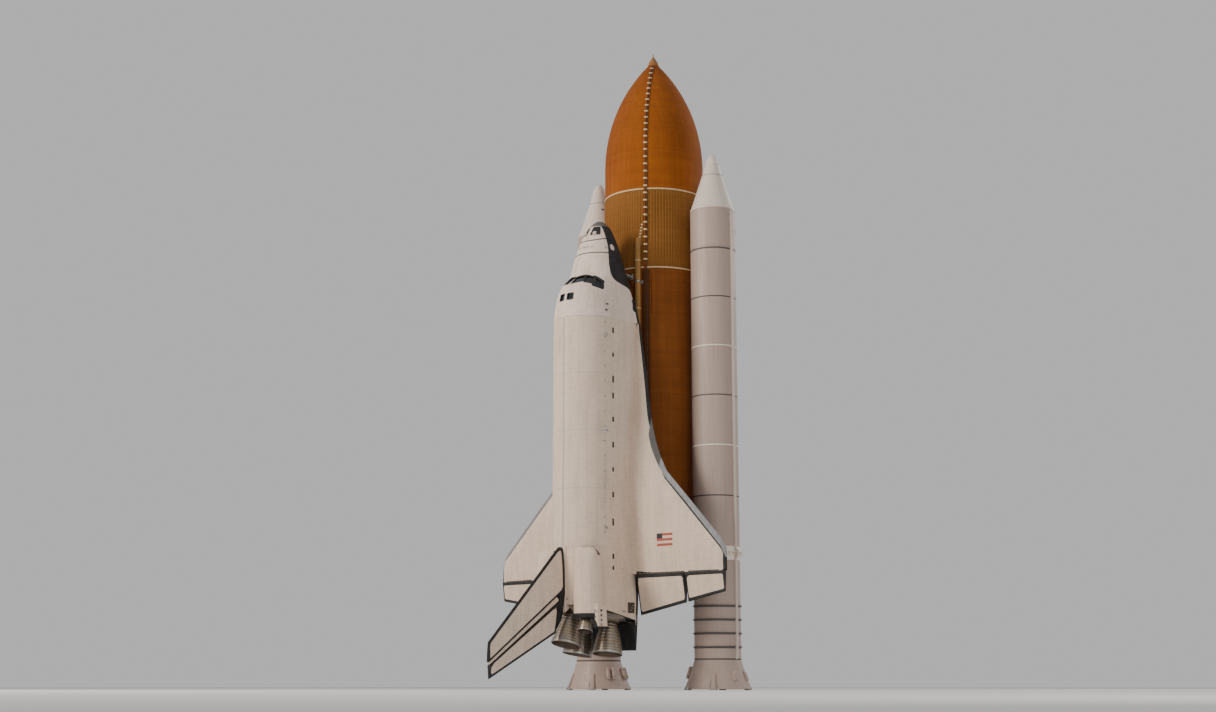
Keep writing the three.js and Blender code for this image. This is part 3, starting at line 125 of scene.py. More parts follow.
# Meshes: shells are built in inches, with a UV in inches at each face corner
class Shell:
    def __init__(self):
        self.points, self.faces, self.uvs, self.slots = [], [], [], []

    def _add(self, points, faces, uvs, slot):
        base = len(self.points)
        self.points.extend(map(tuple, points))
        for face, uv in zip(faces, uvs):
            self.faces.append([base + i for i in face])
            self.uvs.append(uv)
            self.slots.append(slot)
        return self

    def grid(self, rows, slot=0, uv=None, cap_slot=None):
        """A closed body through rings of points, n rings of m points, with one face across each end."""
        rows = np.asarray(rows, float)
        n, m = rows.shape[:2]
        if uv is None:
            steps = np.linalg.norm(np.diff(rows[:, 0], axis=0), axis=1)
            along = np.concatenate([[0], np.cumsum(steps)])
            uv = np.stack([np.repeat(along[:, None], m + 1, 1), girth(rows)], 2)
        base = len(self.points)
        faces, uvs = [], []
        for i in range(n - 1):
            for j in range(m):
                k = (j + 1) % m
                faces.append([i * m + j, i * m + k, (i + 1) * m + k, (i + 1) * m + j])
                uvs.append([uv[i, j], uv[i, j + 1], uv[i + 1, j + 1], uv[i + 1, j]])
        self._add(rows.reshape(-1, 3), faces, uvs, slot)
        for row, order in ((0, range(m - 1, -1, -1)), (n - 1, range(m))):
            self.faces.append([base + row * m + j for j in order])
            self.uvs.append([rows[row, j, 1:] for j in order])
            self.slots.append(slot if cap_slot is None else cap_slot)
        return self

    def lathe(self, profile, sides=64, place=None, slot=0):
        """A profile of (x, radius) points turned round the x axis, then placed."""
        profile = [tuple(map(float, p)) for p in profile]
        reach = max(r for _, r in profile)
        turns = np.radians(np.linspace(0, 360, sides + 1))
        length = [0.0]
        for a, b in zip(profile, profile[1:]):
            length.append(length[-1] + math.hypot(b[0] - a[0], b[1] - a[1]))
        points, rings = [], []
        for x, r in profile:
            if r < 1e-6:
                rings.append([len(points)])
                points.append((x, 0, 0))
            else:
                rings.append(list(range(len(points), len(points) + sides)))
                points.extend((x, r * math.sin(t), r * math.cos(t)) for t in turns[:-1])
        faces, uvs = [], []
        for i, (a, b) in enumerate(zip(rings, rings[1:])):
            u0, u1 = length[i], length[i + 1]
            for j in range(sides):
                k = (j + 1) % sides
                v0, v1 = turns[j] * reach, turns[j + 1] * reach
                if len(a) == 1:
                    faces.append([a[0], b[k], b[j]])
                    uvs.append([(u0, v0), (u1, v1), (u1, v0)])
                elif len(b) == 1:
                    faces.append([a[j], a[k], b[0]])
                    uvs.append([(u0, v0), (u0, v1), (u1, v0)])
                else:
                    faces.append([a[j], a[k], b[k], b[j]])
                    uvs.append([(u0, v0), (u0, v1), (u1, v1), (u1, v0)])
        if place is not None:
            points = placed(place, points)
        return self._add(points, faces, uvs, slot)

    def hoop(self, profile, sides=64, place=None, slot=0):
        """A closed profile turned round the x axis."""
        return self.lathe([*profile, profile[0]], sides, place, slot)

    def rod(self, start, end, radius, end_radius=None, sides=20, slot=0, bevel=None):
        start, end = Vector(start), Vector(end)
        length = (end - start).length
        b = radius if end_radius is None else end_radius
        edge = min(radius, b, length / 2) * 0.15 if bevel is None else bevel
        profile = [(0, 0), (0, radius - edge), (edge, radius), (length - edge, b), (length, b - edge),
                   (length, 0)]
        return self.lathe(profile, sides, place_along(start, end - start), slot)

    def collar(self, middle, along, half, radius, **more):
        """A short rod round its middle, such as a ring on a strut."""
        return self.rod(middle - along * half, middle + along * half, radius, **more)

    def stud(self, place, x, y, heights, radius, sides=6, slot=0):
        """A short rod between two heights on local z, such as a bolt's head."""
        low, high = [place @ Vector((x, y, z)) for z in heights]
        return self.rod(low, high, radius, sides=sides, slot=slot)

    def tube(self, path, radius, sides=20, slot=0, smooth=6):
        """A round tube along a path, or along the smooth curve through its points."""
        points = np.array(path, float)
        if smooth:
            points = smooth_path(points, smooth)
        along = np.gradient(points, axis=0)
        along /= np.linalg.norm(along, axis=1)[:, None]
        side = np.cross(along[0], (0.31, 0.42, 0.85))
        turns = np.linspace(0, 2 * np.pi, sides, endpoint=False)
        rows = []
        for p, t in zip(points, along):
            side = side - t * side.dot(t)
            side /= np.linalg.norm(side)
            up = np.cross(t, side)
            rows.append(p + radius * (np.cos(turns)[:, None] * side + np.sin(turns)[:, None] * up))
        return self.grid(rows, slot=slot)

    def block(self, x, y, z, slot=0, place=None, edge=0.0):
        """A box between two stations each way, with its long edges chamfered."""
        (x0, x1), (y0, y1), (z0, z1) = x, y, z
        edge = edge or min(abs(x1 - x0), abs(y1 - y0), abs(z1 - z0)) * 0.12

        def ring(at, inset):
            return [(at, y0 + inset, z0 + edge + inset), (at, y0 + edge + inset, z0 + inset),
                    (at, y1 - edge - inset, z0 + inset), (at, y1 - inset, z0 + edge + inset),
                    (at, y1 - inset, z1 - edge - inset), (at, y1 - edge - inset, z1 - inset),
                    (at, y0 + edge + inset, z1 - inset), (at, y0 + inset, z1 - edge - inset)]

        rows = [ring(x0, edge * 0.8), ring(x0 + edge, 0), ring(x1 - edge, 0), ring(x1, edge * 0.8)]
        if place is not None:
            rows = [placed(place, row) for row in rows]
        return self.grid(rows, slot=slot)

    def hull(self, points, slot=0, bevel=0.0, place=None):
        """The convex body round some points, with its edges bevelled."""
        made = bmesh.new()
        for p in points if place is None else placed(place, points):
            made.verts.new(p)
        bmesh.ops.convex_hull(made, input=made.verts)
        bmesh.ops.delete(made, geom=[v for v in made.verts if not v.link_faces], context="VERTS")
        bmesh.ops.dissolve_limit(made, angle_limit=0.02, verts=made.verts, edges=made.edges)
        if bevel:
            bmesh.ops.bevel(made, geom=list(made.edges), offset=bevel, segments=2, affect="EDGES",
                            profile=0.6, clamp_overlap=True)
        made.verts.index_update()
        faces = [[v.index for v in f.verts] for f in made.faces]
        points = [tuple(v.co) for v in made.verts]
        made.free()
        uvs = [[(points[i][0], points[i][1] + points[i][2]) for i in f] for f in faces]
        return self._add(points, faces, uvs, slot)

    def side(self, sign):
        """The same shell on that side of the x-z plane."""
        if sign < 0:
            self.points = [(x, -y, z) for x, y, z in self.points]
        return self


def smooth_path(points, steps):
    """Catmull-Rom through the points."""
    padded = np.concatenate([[2 * points[0] - points[1]], points, [2 * points[-1] - points[-2]]])
    out = []
    for i in range(len(points) - 1):
        a, b, c, d = padded[i : i + 4]
        for t in np.linspace(0, 1, steps, endpoint=False):
            out.append(0.5 * (2 * b + (c - a) * t + (2 * a - 5 * b + 4 * c - d) * t**2
                              + (3 * b - a - 3 * c + d) * t**3))
    return np.array(out + [points[-1]])


def place_along(origin, direction):
    """Local x along a direction."""
    x = Vector(direction).normalized()
    up = Vector((0, 1, 0)) if abs(x.z) > 0.99 else Vector((0, 0, 1))
    y = up.cross(x).normalized()
    z = x.cross(y)
    m = Matrix((x, y, z)).transposed().to_4x4()
    m.translation = Vector(origin)
    return m


class Curve:
    """A smooth curve through table rows that never overshoots them."""

    def __init__(self, xs, ys):
        self.x = np.asarray(xs, float)
        self.y = np.asarray(ys, float).reshape(len(self.x), -1)
        h = np.diff(self.x)
        d = np.diff(self.y, axis=0) / h[:, None]
        m = np.zeros_like(self.y)
        m[0], m[-1] = d[0], d[-1]
        for i in range(1, len(h)):
            w1, w2 = 2 * h[i] + h[i - 1], h[i] + 2 * h[i - 1]
            same = d[i - 1] * d[i] > 0
            safe = np.where(same, d[i - 1], 1), np.where(same, d[i], 1)
            m[i] = np.where(same, (w1 + w2) / (w1 / safe[0] + w2 / safe[1]), 0)
        self.m = m

    def __call__(self, x):
        x = np.atleast_1d(np.asarray(x, float))
        i = np.clip(np.searchsorted(self.x, x) - 1, 0, len(self.x) - 2)
        h = (self.x[i + 1] - self.x[i])[:, None]
        t = np.clip((x - self.x[i])[:, None] / h, 0, 1)
        made = (
            (1 + 2 * t) * (1 - t) ** 2 * self.y[i] + t * (1 - t) ** 2 * h * self.m[i]
            + t * t * (3 - 2 * t) * self.y[i + 1] + t * t * (t - 1) * h * self.m[i + 1]
        )
        return made if made.shape[1] > 1 else made[:, 0]

    def at(self, x):
        """The value, or the row of values, at one station."""
        return self(x)[0]


def table_curve(table):
    """A curve through a table whose first column is the station."""
    return Curve([row[0] for row in table], [row[1:] for row in table])


def to_object(name, shell, part, materials):
    mesh = bpy.data.meshes.new(name)
    mesh.from_pydata(world(shell.points, part).tolist(), [], shell.faces)
    layer = mesh.uv_layers.new(name="inches")
    flat = np.array([c for face in shell.uvs for c in face], np.float32)
    layer.data.foreach_set("uv", flat.ravel())
    mesh.polygons.foreach_set("material_index", np.array(shell.slots, np.int32))
    for m in materials:
        mesh.materials.append(m)
    return new_object(name, mesh)


@contextmanager
def editing(mesh):
    made = bmesh.new()
    made.from_mesh(mesh)
    yield made
    made.to_mesh(mesh)
    made.free()


def outward(mesh, merge=0.0):
    """Turns all faces outward, which an exact boolean needs of both its meshes."""
    with editing(mesh) as made:
        if merge:
            bmesh.ops.remove_doubles(made, verts=made.verts, dist=merge)
        bmesh.ops.recalc_face_normals(made, faces=made.faces)


def mirror(obj):
    """Moves a piece to the other side."""
    with editing(obj.data) as made:
        bmesh.ops.scale(made, vec=(-1, 1, 1), verts=made.verts)
        bmesh.ops.reverse_faces(made, faces=made.faces)


def cut(obj, shell, operation="DIFFERENCE"):
    """Cuts a shell out of an orbiter piece. The cut faces take the shell's slots."""
    tool = to_object("tool", shell, "orbiter", obj.data.materials)
    outward(obj.data)
    outward(tool.data)
    change = obj.modifiers.new("cut", "BOOLEAN")
    change.object, change.operation, change.solver = tool, operation, "EXACT"
    bpy.context.view_layer.update()
    graph = bpy.context.evaluated_depsgraph_get()
    mesh = bpy.data.meshes.new_from_object(obj.evaluated_get(graph))
    obj.modifiers.clear()
    old, obj.data = obj.data, mesh
    bpy.data.meshes.remove(old)
    bpy.data.objects.remove(tool)


def add_shell(obj, shell):
    """Puts a shell's faces into an orbiter piece that has already been cut."""
    extra = to_object("extra", shell, "orbiter", obj.data.materials)
    with editing(obj.data) as made:
        made.from_mesh(extra.data)
    bpy.data.objects.remove(extra)


def finish_piece(obj, body, replaces, zones=None, part="orbiter", sharp=35):
    """Normals, shading and colour zones; then the piece goes onto its body, and the parts it replaces are
    hidden.
    """
    mesh = obj.data
    outward(mesh, 1e-6)
    mesh.polygons.foreach_set("use_smooth", np.ones(len(mesh.polygons), bool))
    mesh.set_sharp_from_angle(angle=math.radians(sharp))
    if zones:
        co = np.zeros(len(mesh.vertices) * 3)
        mesh.vertices.foreach_get("co", co)
        co = co.reshape(-1, 3) / METRES
        p = np.stack([FLOOR_X - co[:, 2], co[:, 0], MIDDLE_Z - co[:, 1]], 1) - ORIGINS[part]
        for key, function in zones.items():
            layer = mesh.attributes.new(key, "FLOAT", "POINT")
            layer.data.foreach_set("value", np.asarray(function(p[:, 0], p[:, 1], p[:, 2]), np.float32))
    mesh.update()
    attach(obj, body)
    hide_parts(*replaces)


def piece(name, shell, part, materials, replaces, body="stack", zones=None, sharp=35):
    obj = to_object(name, shell, part, materials)
    finish_piece(obj, body, replaces, zones, part, sharp)


# Materials
class Nodes:
    def __init__(self, name):
        self.material = bpy.data.materials.new(name)
        self.material.use_nodes = True
        self.tree = self.material.node_tree
        self.shader = self.tree.nodes["Principled BSDF"]

    def add(self, kind, inputs=None, out=0, **settings):
        node = self.tree.nodes.new(kind)
        for key, value in settings.items():
            setattr(node, key, value)
        for key, value in (inputs or {}).items():
            self.put(node.inputs[key], value)
        return node.outputs[out]

    def put(self, socket, value):
        if isinstance(value, bpy.types.NodeSocket):
            self.tree.links.new(value, socket)
        else:
            socket.default_value = value

    def set(self, **inputs):
        for key, value in inputs.items():
            self.put(self.shader.inputs[key.replace("_", " ")], value)

    def math(self, operation, a, b=0.0, clamp=False):
        return self.add("ShaderNodeMath", {0: a, 1: b}, operation=operation, use_clamp=clamp)

    def mix(self, share, a, b):
        return self.add("ShaderNodeMix", {0: share, 6: colour(a), 7: colour(b)}, 2, data_type="RGBA")

    def ramp(self, value, low, high, to=(0.0, 1.0)):
        return self.add("ShaderNodeMapRange", {"Value": value, "From Min": low, "From Max": high,
                                               "To Min": to[0], "To Max": to[1]})

    def position(self, scale=(1, 1, 1)):
        """The place on the object in metres, at rest, stretched."""
        coords = self.add("ShaderNodeTexCoord", out=3)
        return self.add("ShaderNodeMapping", {"Vector": coords, "Scale": scale})

    def inches(self):
        return self.add("ShaderNodeUVMap", uv_map="inches")

    def noise(self, vector, scale, detail):
        return self.add("ShaderNodeTexNoise", {"Vector": vector, "Scale": scale, "Detail": detail,
                                               "Roughness": 0.55})

    def attribute(self, name):
        return self.add("ShaderNodeAttribute", out=2, attribute_name=name)

    def zone(self, name):
        """1 inside the zone and 0 outside it, with a crisp edge."""
        return self.math("GREATER_THAN", self.attribute(name), 0.0)

    def line(self, name, half):
        """1 within half a width of where the signed distance is nought."""
        return self.math("LESS_THAN", self.math("ABSOLUTE", self.attribute(name)), half)

    def box(self, x, y, z, part="orbiter"):
        """1 inside a box given in the part's own inches."""
        low, high = world([(x[0], y[0], z[0]), (x[1], y[1], z[1])], part)
        away = self.add("ShaderNodeTexCoord", out=3)
        for operation, other in (("SUBTRACT", (low + high) / 2), ("ABSOLUTE", (0, 0, 0)),
                                 ("DIVIDE", abs(high - low) / 2)):
            away = self.add("ShaderNodeVectorMath", {0: away, 1: tuple(other)}, operation=operation)
        x_far, y_far, z_far = self.add("ShaderNodeSeparateXYZ", {0: away}).node.outputs
        far = self.math("MAXIMUM", self.math("MAXIMUM", x_far, y_far), z_far)
        return self.math("LESS_THAN", far, 1.0)

    def bump(self, height, strength, distance, normal=None):
        inputs = {"Height": height, "Strength": strength, "Distance": distance}
        if normal is not None:
            inputs["Normal"] = normal
        return self.add("ShaderNodeBump", inputs)

    def bricks(self, vector, width, height, mortar, offset=0.0):
        """A shade of its own for each brick, and 1 in the gaps between them."""
        shade = self.add("ShaderNodeTexBrick", {
            "Vector": vector, "Color1": (0, 0, 0, 1), "Color2": (1, 1, 1, 1), "Mortar": (0.5, 0.5, 0.5, 1),
            "Scale": 1.0, "Mortar Size": mortar, "Mortar Smooth": 0.1, "Bias": 0.0, "Brick Width": width,
            "Row Height": height}, offset=offset, squash=1.0)
        return shade, shade.node.outputs[1]


def colour(value):
    return (*value, 1.0) if isinstance(value, tuple) and len(value) == 3 else value


def tinted(base, *shares):
    """A colour with each channel times its own share, or all of them times one share."""
    return tuple(channel * share for channel, share in zip(base, shares * 3))


def foam(name, dark, light, streak=0.35, roughness=0.9):
    """Sprayed and weathered foam: blotches, run-down streaks, spray passes and an orange-peel surface."""
    n = Nodes(name)
    blotch = n.noise(n.position(), 0.55, 5.0)
    streaks = n.noise(n.position((6, 6, 0.25)), 1.0, 3.0)
    passes = n.noise(n.position((0.2, 0.2, 9)), 1.0, 2.0)
    share = n.math("ADD", n.ramp(blotch, 0.3, 0.7, (0.0, 0.6)), n.ramp(streaks, 0.35, 0.7, (0.0, streak)),
                   True)
    base = n.mix(share, dark, light)
    base = n.mix(n.ramp(passes, 0.45, 0.6, (0.0, 0.16)), base, tinted(dark, 0.55, 0.55, 0.6))
    speck = n.noise(n.position(), 38.0, 2.0)
    base = n.mix(n.ramp(speck, 0.55, 0.75, (0.0, 0.25)), base, tinted(light, 1.25, 1.25, 1.3))
    peel = n.noise(n.position(), 55.0, 3.0)
    n.set(Base_Color=base, Roughness=roughness, Specular_IOR_Level=0.25,
          Normal=n.bump(peel, 0.35, 0.012, n.bump(passes, 0.25, 0.02)))
    return n.material


def paint(name, base, stain, roughness=0.5):
    """Painted metal: run-down stains, speckle and a slightly uneven sheen."""
    n = Nodes(name)
    streaks = n.noise(n.position((9, 9, 0.5)), 1.0, 4.0)
    blotch = n.noise(n.position(), 1.1, 5.0)
    dirt = n.math("MULTIPLY", n.ramp(streaks, 0.48, 0.78, (0.0, 1.0)), n.ramp(blotch, 0.35, 0.7, (0.2, 1.0)))
    made = n.mix(n.math("MULTIPLY", dirt, 0.6), base, stain)
    fine = n.noise(n.position(), 60.0, 2.0)
    n.set(Base_Color=made, Roughness=n.ramp(streaks, 0.3, 0.8, (roughness - 0.08, roughness + 0.15)),
          Normal=n.bump(fine, 0.12, 0.004, n.bump(blotch, 0.15, 0.03)))
    return n.material


def metal(name, base, tint, roughness=0.35, scale=3.0, stretch=(1, 1, 1)):
    """Worn bare metal with heat or handling tints."""
    n = Nodes(name)
    cloud = n.noise(n.position(stretch), scale, 5.0)
    fine = n.noise(n.position((40, 40, 3)), 2.0, 2.0)
    n.set(Base_Color=n.mix(n.ramp(cloud, 0.35, 0.7), base, tint), Metallic=0.9,
          Roughness=n.ramp(fine, 0.2, 0.8, (roughness - 0.08, roughness + 0.18)),
          Normal=n.bump(fine, 0.1, 0.002))
    return n.material


# Sizes of the tiles, the blankets and their stitching, in inches
TILE = 6.0
BLANKET = 30.0
STITCH = 3.0


def tile_layer(n, dark, light, size=TILE):
    """Square tiles, each of its own shade, with gaps between them: colour and height."""
    shade, gap = n.bricks(n.inches(), size, size, 0.12)
    grime = n.noise(n.position(), 2.2, 5.0)
    fine = n.noise(n.position(), 70.0, 2.0)
    worn = tuple(channel + 0.01 for channel in tinted(light, 1.5, 1.45, 1.4))
    base = n.mix(n.ramp(shade, 0.0, 1.0, (0.0, 0.8)), dark, light)
    base = n.mix(n.ramp(grime, 0.45, 0.75, (0.0, 0.35)), base, worn)
    base = n.mix(n.math("MULTIPLY", gap, 0.7), base, tinted(dark, 0.3))
    height = n.math("SUBTRACT", n.math("MULTIPLY", fine, 0.12), gap)
    return base, height


def blanket_layer(n, base_colour, stain):
    """Quilted blankets: large panels with stitched rows, a woven surface and light soot."""
    uv = n.inches()
    shade, gap = n.bricks(uv, BLANKET, BLANKET, 0.35, 0.5)
    _, stitch = n.bricks(uv, STITCH, STITCH, 0.22)
    grime = n.noise(n.position((3, 3, 0.7)), 1.0, 5.0)
    base = n.mix(n.ramp(shade, 0.0, 1.0, (0.0, 0.22)), base_colour, tinted(base_colour, 0.87, 0.86, 0.84))
    base = n.mix(n.ramp(grime, 0.45, 0.8, (0.0, 0.5)), base, stain)
    base = n.mix(n.math("MULTIPLY", gap, 0.55), base, tinted(stain, 0.6, 0.58, 0.55))
    base = n.mix(n.math("MULTIPLY", stitch, 0.14), base, tinted(stain, 0.7))
    weave = n.noise(n.position(), 90.0, 2.0)
    puff = n.math("ADD", n.math("MULTIPLY", stitch, -0.45), n.math("MULTIPLY", gap, -1.0))
    height = n.math("ADD", puff, n.math("MULTIPLY", weave, 0.2))
    return base, height


WHITE = (0.76, 0.605, 0.485)
NOSE_WHITE = (0.81, 0.67, 0.58)
WHITE_SOOT = (0.48, 0.38, 0.295)
BLACK = (0.012, 0.012, 0.014)
BLACK_WORN = (0.035, 0.034, 0.034)


def skin(name, white=WHITE, soot=WHITE_SOOT, tiled=True, lines=(), marks=()):
    """The orbiter's skin: blankets with lines and painted marks, and black tiles inside the black zone."""
    n = Nodes(name)
    base, height = blanket_layer(n, white, soot)
    for line, half, tint in lines:
        base = n.mix(n.line(line, half), base, tint)
    for limits, tint in marks:
        base = n.mix(n.box(*limits), base, tint)
    rough = 0.82
    if tiled:
        dark, dark_height = tile_layer(n, BLACK, BLACK_WORN)
        share = n.zone("black")
        base = n.mix(share, base, dark)
        height = n.add("ShaderNodeMix", {0: share, 2: height, 3: dark_height})
        rough = n.ramp(share, 0.0, 1.0, (0.82, 0.6))
    n.set(Base_Color=base, Roughness=rough, Specular_IOR_Level=0.3, Normal=n.bump(height, 0.5, 0.006))
    return n.material


def tiles(name, dark=BLACK, light=BLACK_WORN, size=TILE):
    n = Nodes(name)
    base, height = tile_layer(n, dark, light, size)
    n.set(Base_Color=base, Roughness=0.6, Specular_IOR_Level=0.3, Normal=n.bump(height, 0.5, 0.006))
    return n.material


def carbon(name, base):
    """Carbon panels with seams across them and a pale bloom."""
    n = Nodes(name)
    shade, gap = n.bricks(n.inches(), 24.0, 400.0, 0.35)
    cloud = n.noise(n.position(), 3.0, 6.0)
    made = n.mix(n.ramp(cloud, 0.35, 0.75, (0.0, 0.6)), base, tinted(base, 1.5))
    made = n.mix(n.ramp(shade, 0.0, 1.0, (0.0, 0.25)), made, tinted(base, 0.7))
    made = n.mix(n.math("MULTIPLY", gap, 0.8), made, (0.02, 0.02, 0.02))
    fine = n.noise(n.position(), 80.0, 2.0)
    height = n.math("SUBTRACT", n.math("MULTIPLY", fine, 0.2), gap)
    n.set(Base_Color=made, Roughness=n.ramp(cloud, 0.3, 0.7, (0.42, 0.6)), Normal=n.bump(height, 0.5, 0.006))
    return n.material


def glass(name):
    n = Nodes(name)
    smear = n.noise(n.position(), 4.0, 3.0)
    n.set(Base_Color=(0.012, 0.014, 0.018, 1), Roughness=n.ramp(smear, 0.3, 0.8, (0.04, 0.14)),
          Specular_IOR_Level=0.35, Coat_Weight=0.15, Coat_Roughness=0.03)
    return n.material


OGIVE_FOAM = foam("foam_ogive", (0.215, 0.052, 0.004), (0.33, 0.092, 0.008))
# Darker than the ogive's foam: partly the hydrogen tank's own tone, partly painted shade
TANK_FOAM = foam("foam_tank", (0.17, 0.048, 0.008), (0.27, 0.083, 0.014))
RIB_FOAM = foam("foam_ribbed", (0.19, 0.075, 0.013), (0.29, 0.12, 0.024))
PALE_FOAM = foam("foam_pale", (0.62, 0.45, 0.25), (0.74, 0.58, 0.36))
LINE_FOAM = foam("foam_line", (0.30, 0.15, 0.045), (0.43, 0.235, 0.08))
CONE_FOAM = foam("foam_cone", (0.26, 0.12, 0.04), (0.38, 0.19, 0.075))
BOOSTER_WHITE = paint("booster_white", (0.43, 0.325, 0.275), (0.30, 0.21, 0.16))
CONE_WHITE = paint("cone_white", (0.70, 0.61, 0.53), (0.52, 0.43, 0.355))
# Dark joints, and painted shade on the case's stiffener rings
DARK_JOINTS_AND_SHADE = paint("joint_dark_and_painted_shade", (0.075, 0.065, 0.06), (0.16, 0.13, 0.11), 0.6)
# Pale joints, and the painted glint round the aft attach ring
PALE_JOINTS_AND_GLINT = paint("joint_pale_and_painted_glint", (0.84, 0.77, 0.66), (0.64, 0.54, 0.43))
TUNNEL_WHITE = paint("tunnel_white", (0.60, 0.51, 0.44), (0.44, 0.35, 0.28), 0.6)
# Painted shadow: the dark brown of the tray, its brackets and the banks beside it on the hydrogen tank
TRAY_SHADOW_FOAM = foam("foam_painted_tray_shadow", (0.075, 0.022, 0.006), (0.12, 0.038, 0.01))
CORK = paint("cork_brown", (0.34, 0.24, 0.16), (0.20, 0.14, 0.10), 0.85)
STEEL = metal("steel", (0.45, 0.44, 0.42), (0.30, 0.28, 0.26))
BRONZE = metal("bell_metal", (0.30, 0.25, 0.20), (0.42, 0.30, 0.18), 0.3, 2.0, (1, 1, 3))
BELL_INSIDE = metal("bell_inside", (0.13, 0.11, 0.10), (0.22, 0.16, 0.11), 0.4, 2.0)
DARK_METAL = metal("dark_metal", (0.09, 0.085, 0.08), (0.16, 0.14, 0.12), 0.45)
RADIATOR = metal("radiator", (0.72, 0.73, 0.74), (0.60, 0.61, 0.63), 0.22, 1.0)
BAY_LINER = paint("bay_liner", (0.55, 0.56, 0.52), (0.40, 0.41, 0.38), 0.7)
INSIDE_GREY = paint("inside_grey", (0.30, 0.31, 0.32), (0.20, 0.20, 0.21), 0.6)
GLASS = glass("window_glass")
SKIN = skin("orbiter_skin")
SEAM = (0.11, 0.10, 0.095)
NOSE_SKIN = skin("nose_skin", NOSE_WHITE, lines=(("module_front", 2.0, SEAM), ("module_back", 2.0, SEAM)))
# A striped patch on the starboard wing: bars across it and a plain dark corner
PATCH_X, PATCH_Y, PATCH_Z = (1262, 1301), (215, 276), (296, 335)
PATCH_BARS = 5
BAR = (PATCH_X[1] - PATCH_X[0]) / PATCH_BARS
BAR_RED = (0.42, 0.10, 0.075)
CORNER_GREY = (0.05, 0.045, 0.05)
patch = [(((PATCH_X[0] + BAR * k, PATCH_X[0] + BAR * (k + 1)), PATCH_Y, PATCH_Z), BAR_RED)
         for k in range(0, PATCH_BARS, 2)]
patch.append((((PATCH_X[0], PATCH_X[0] + BAR * 2), (PATCH_Y[0], PATCH_Y[0] + 22), PATCH_Z), CORNER_GREY))
WING_SKINS = {"left": SKIN, "right": skin("wing_skin", marks=patch)}
PLAIN_WHITE = skin("blanket_white", tiled=False)
BLACK_TILES = tiles("tiles_black")
SOOT_LINE = paint("seal_line", (0.50, 0.47, 0.43), (0.30, 0.27, 0.24), 0.8)
BASE_TILES = tiles("tiles_base", (0.03, 0.028, 0.027), (0.09, 0.08, 0.072), 8.0)
CARBON = carbon("carbon_grey", (0.10, 0.094, 0.09))
CARBON_PALE = carbon("carbon_pale", (0.25, 0.25, 0.262))
DOME_BLANKET = skin("dome_blanket", (0.30, 0.25, 0.20), (0.18, 0.14, 0.10), tiled=False)

# External tank
TANK_RADIUS = 165.5
TANK_CAP_X = 371.2
OGIVE_END_X = 745
OGIVE_RADIUS = 548
INTERTANK_X = (852.8, 1123.15)
AFT_FRAME_X = 2058
DOME_DEPTH = 115
TRAY_ANGLE = 30
FEEDLINE_ANGLE = 22.5


def polar(x, radius, degrees):
    """A point round the tank or a booster, where 0 degrees faces the orbiter and 90 is to starboard."""
    t = math.radians(degrees)
    return (x, radius * math.sin(t), radius * math.cos(t))


def ogive_radius(x):
    if x >= OGIVE_END_X:
        return TANK_RADIUS
    return math.sqrt(OGIVE_RADIUS**2 - (OGIVE_END_X - x) ** 2) + TANK_RADIUS - OGIVE_RADIUS


def radial_place(x, radius, degrees):
    """Local x along the stack, local z outwards, at a point on a round body."""
    t = math.radians(degrees)
    out, sideways = Vector((0, math.sin(t), math.cos(t))), Vector((0, math.cos(t), -math.sin(t)))
    m = Matrix((Vector((1, 0, 0)), sideways, out)).transposed().to_4x4()
    m.translation = polar(x, radius, degrees)
    return m


nose = Shell()
nose.lathe([(325, 0), (325.3, 0.7), (326.2, 1.2), (328, 1.5), (338, 2.3), (339.2, 2.4), (339.4, 4.6),
            (340.6, 5.4),
            (342.5, 6.0), (343.2, 7.2), (350, 10.9), (357, 14.4), (364, 17.0), (367, 18.0), (367.2, 18.9),
            (370.9, 18.9), (371.1, 0)], 72)
for angle in (45, 135, 225, 315):
    nose.hull(both_sides((-4, 2, -0.6), (5, 2.4, -0.6), (4, 2, 1.6)) + [(-3, 0, 0.4)], bevel=0.2,
              place=radial_place(356, 14.2, angle))
piece("tank_nose_cap_shell", nose, "tank", [CONE_FOAM], replaces=["tank_nose_cap"])

shell = Shell()
profile = [(TANK_CAP_X, 0), (TANK_CAP_X, 18.6), (TANK_CAP_X + 1, 19.6)]
profile += [(x, ogive_radius(x)) for x in np.linspace(TANK_CAP_X + 4, OGIVE_END_X, 46)]
profile += [(x, TANK_RADIUS) for x in (760, 790, 815, 835, 846, 852.7)] + [(852.7, 0)]
shell.lathe(profile, 144)
for x, width, height in ((392, 5, 0.5), (612, 4, 0.28), (744, 5, 0.4)):
    rim = ((-width, -2), (-width, 0), (-width / 2, height), (width / 2, height), (width, 0), (width, -2))
    shell.hoop([(x + dx, ogive_radius(x + dx) + rise) for dx, rise in rim], 144)
piece("oxygen_tank_foam", shell, "tank", [OGIVE_FOAM], replaces=["oxygen_tank"], sharp=50)

STRINGERS = 108
shell = Shell()


def intertank_row(x, height):
    row = []
    for k in range(STRINGERS * 6):
        angle = 360 * k / (STRINGERS * 6)
        from_post = abs((angle % 180) - 90)
        if from_post < 17.5:
            lift = 0.55 * height / 1.5 if k % 3 else 0.2
        else:
            lift = height if k % 6 in (0, 1, 2) else 0.0
        row.append(polar(x, TANK_RADIUS + lift, angle))
    return row


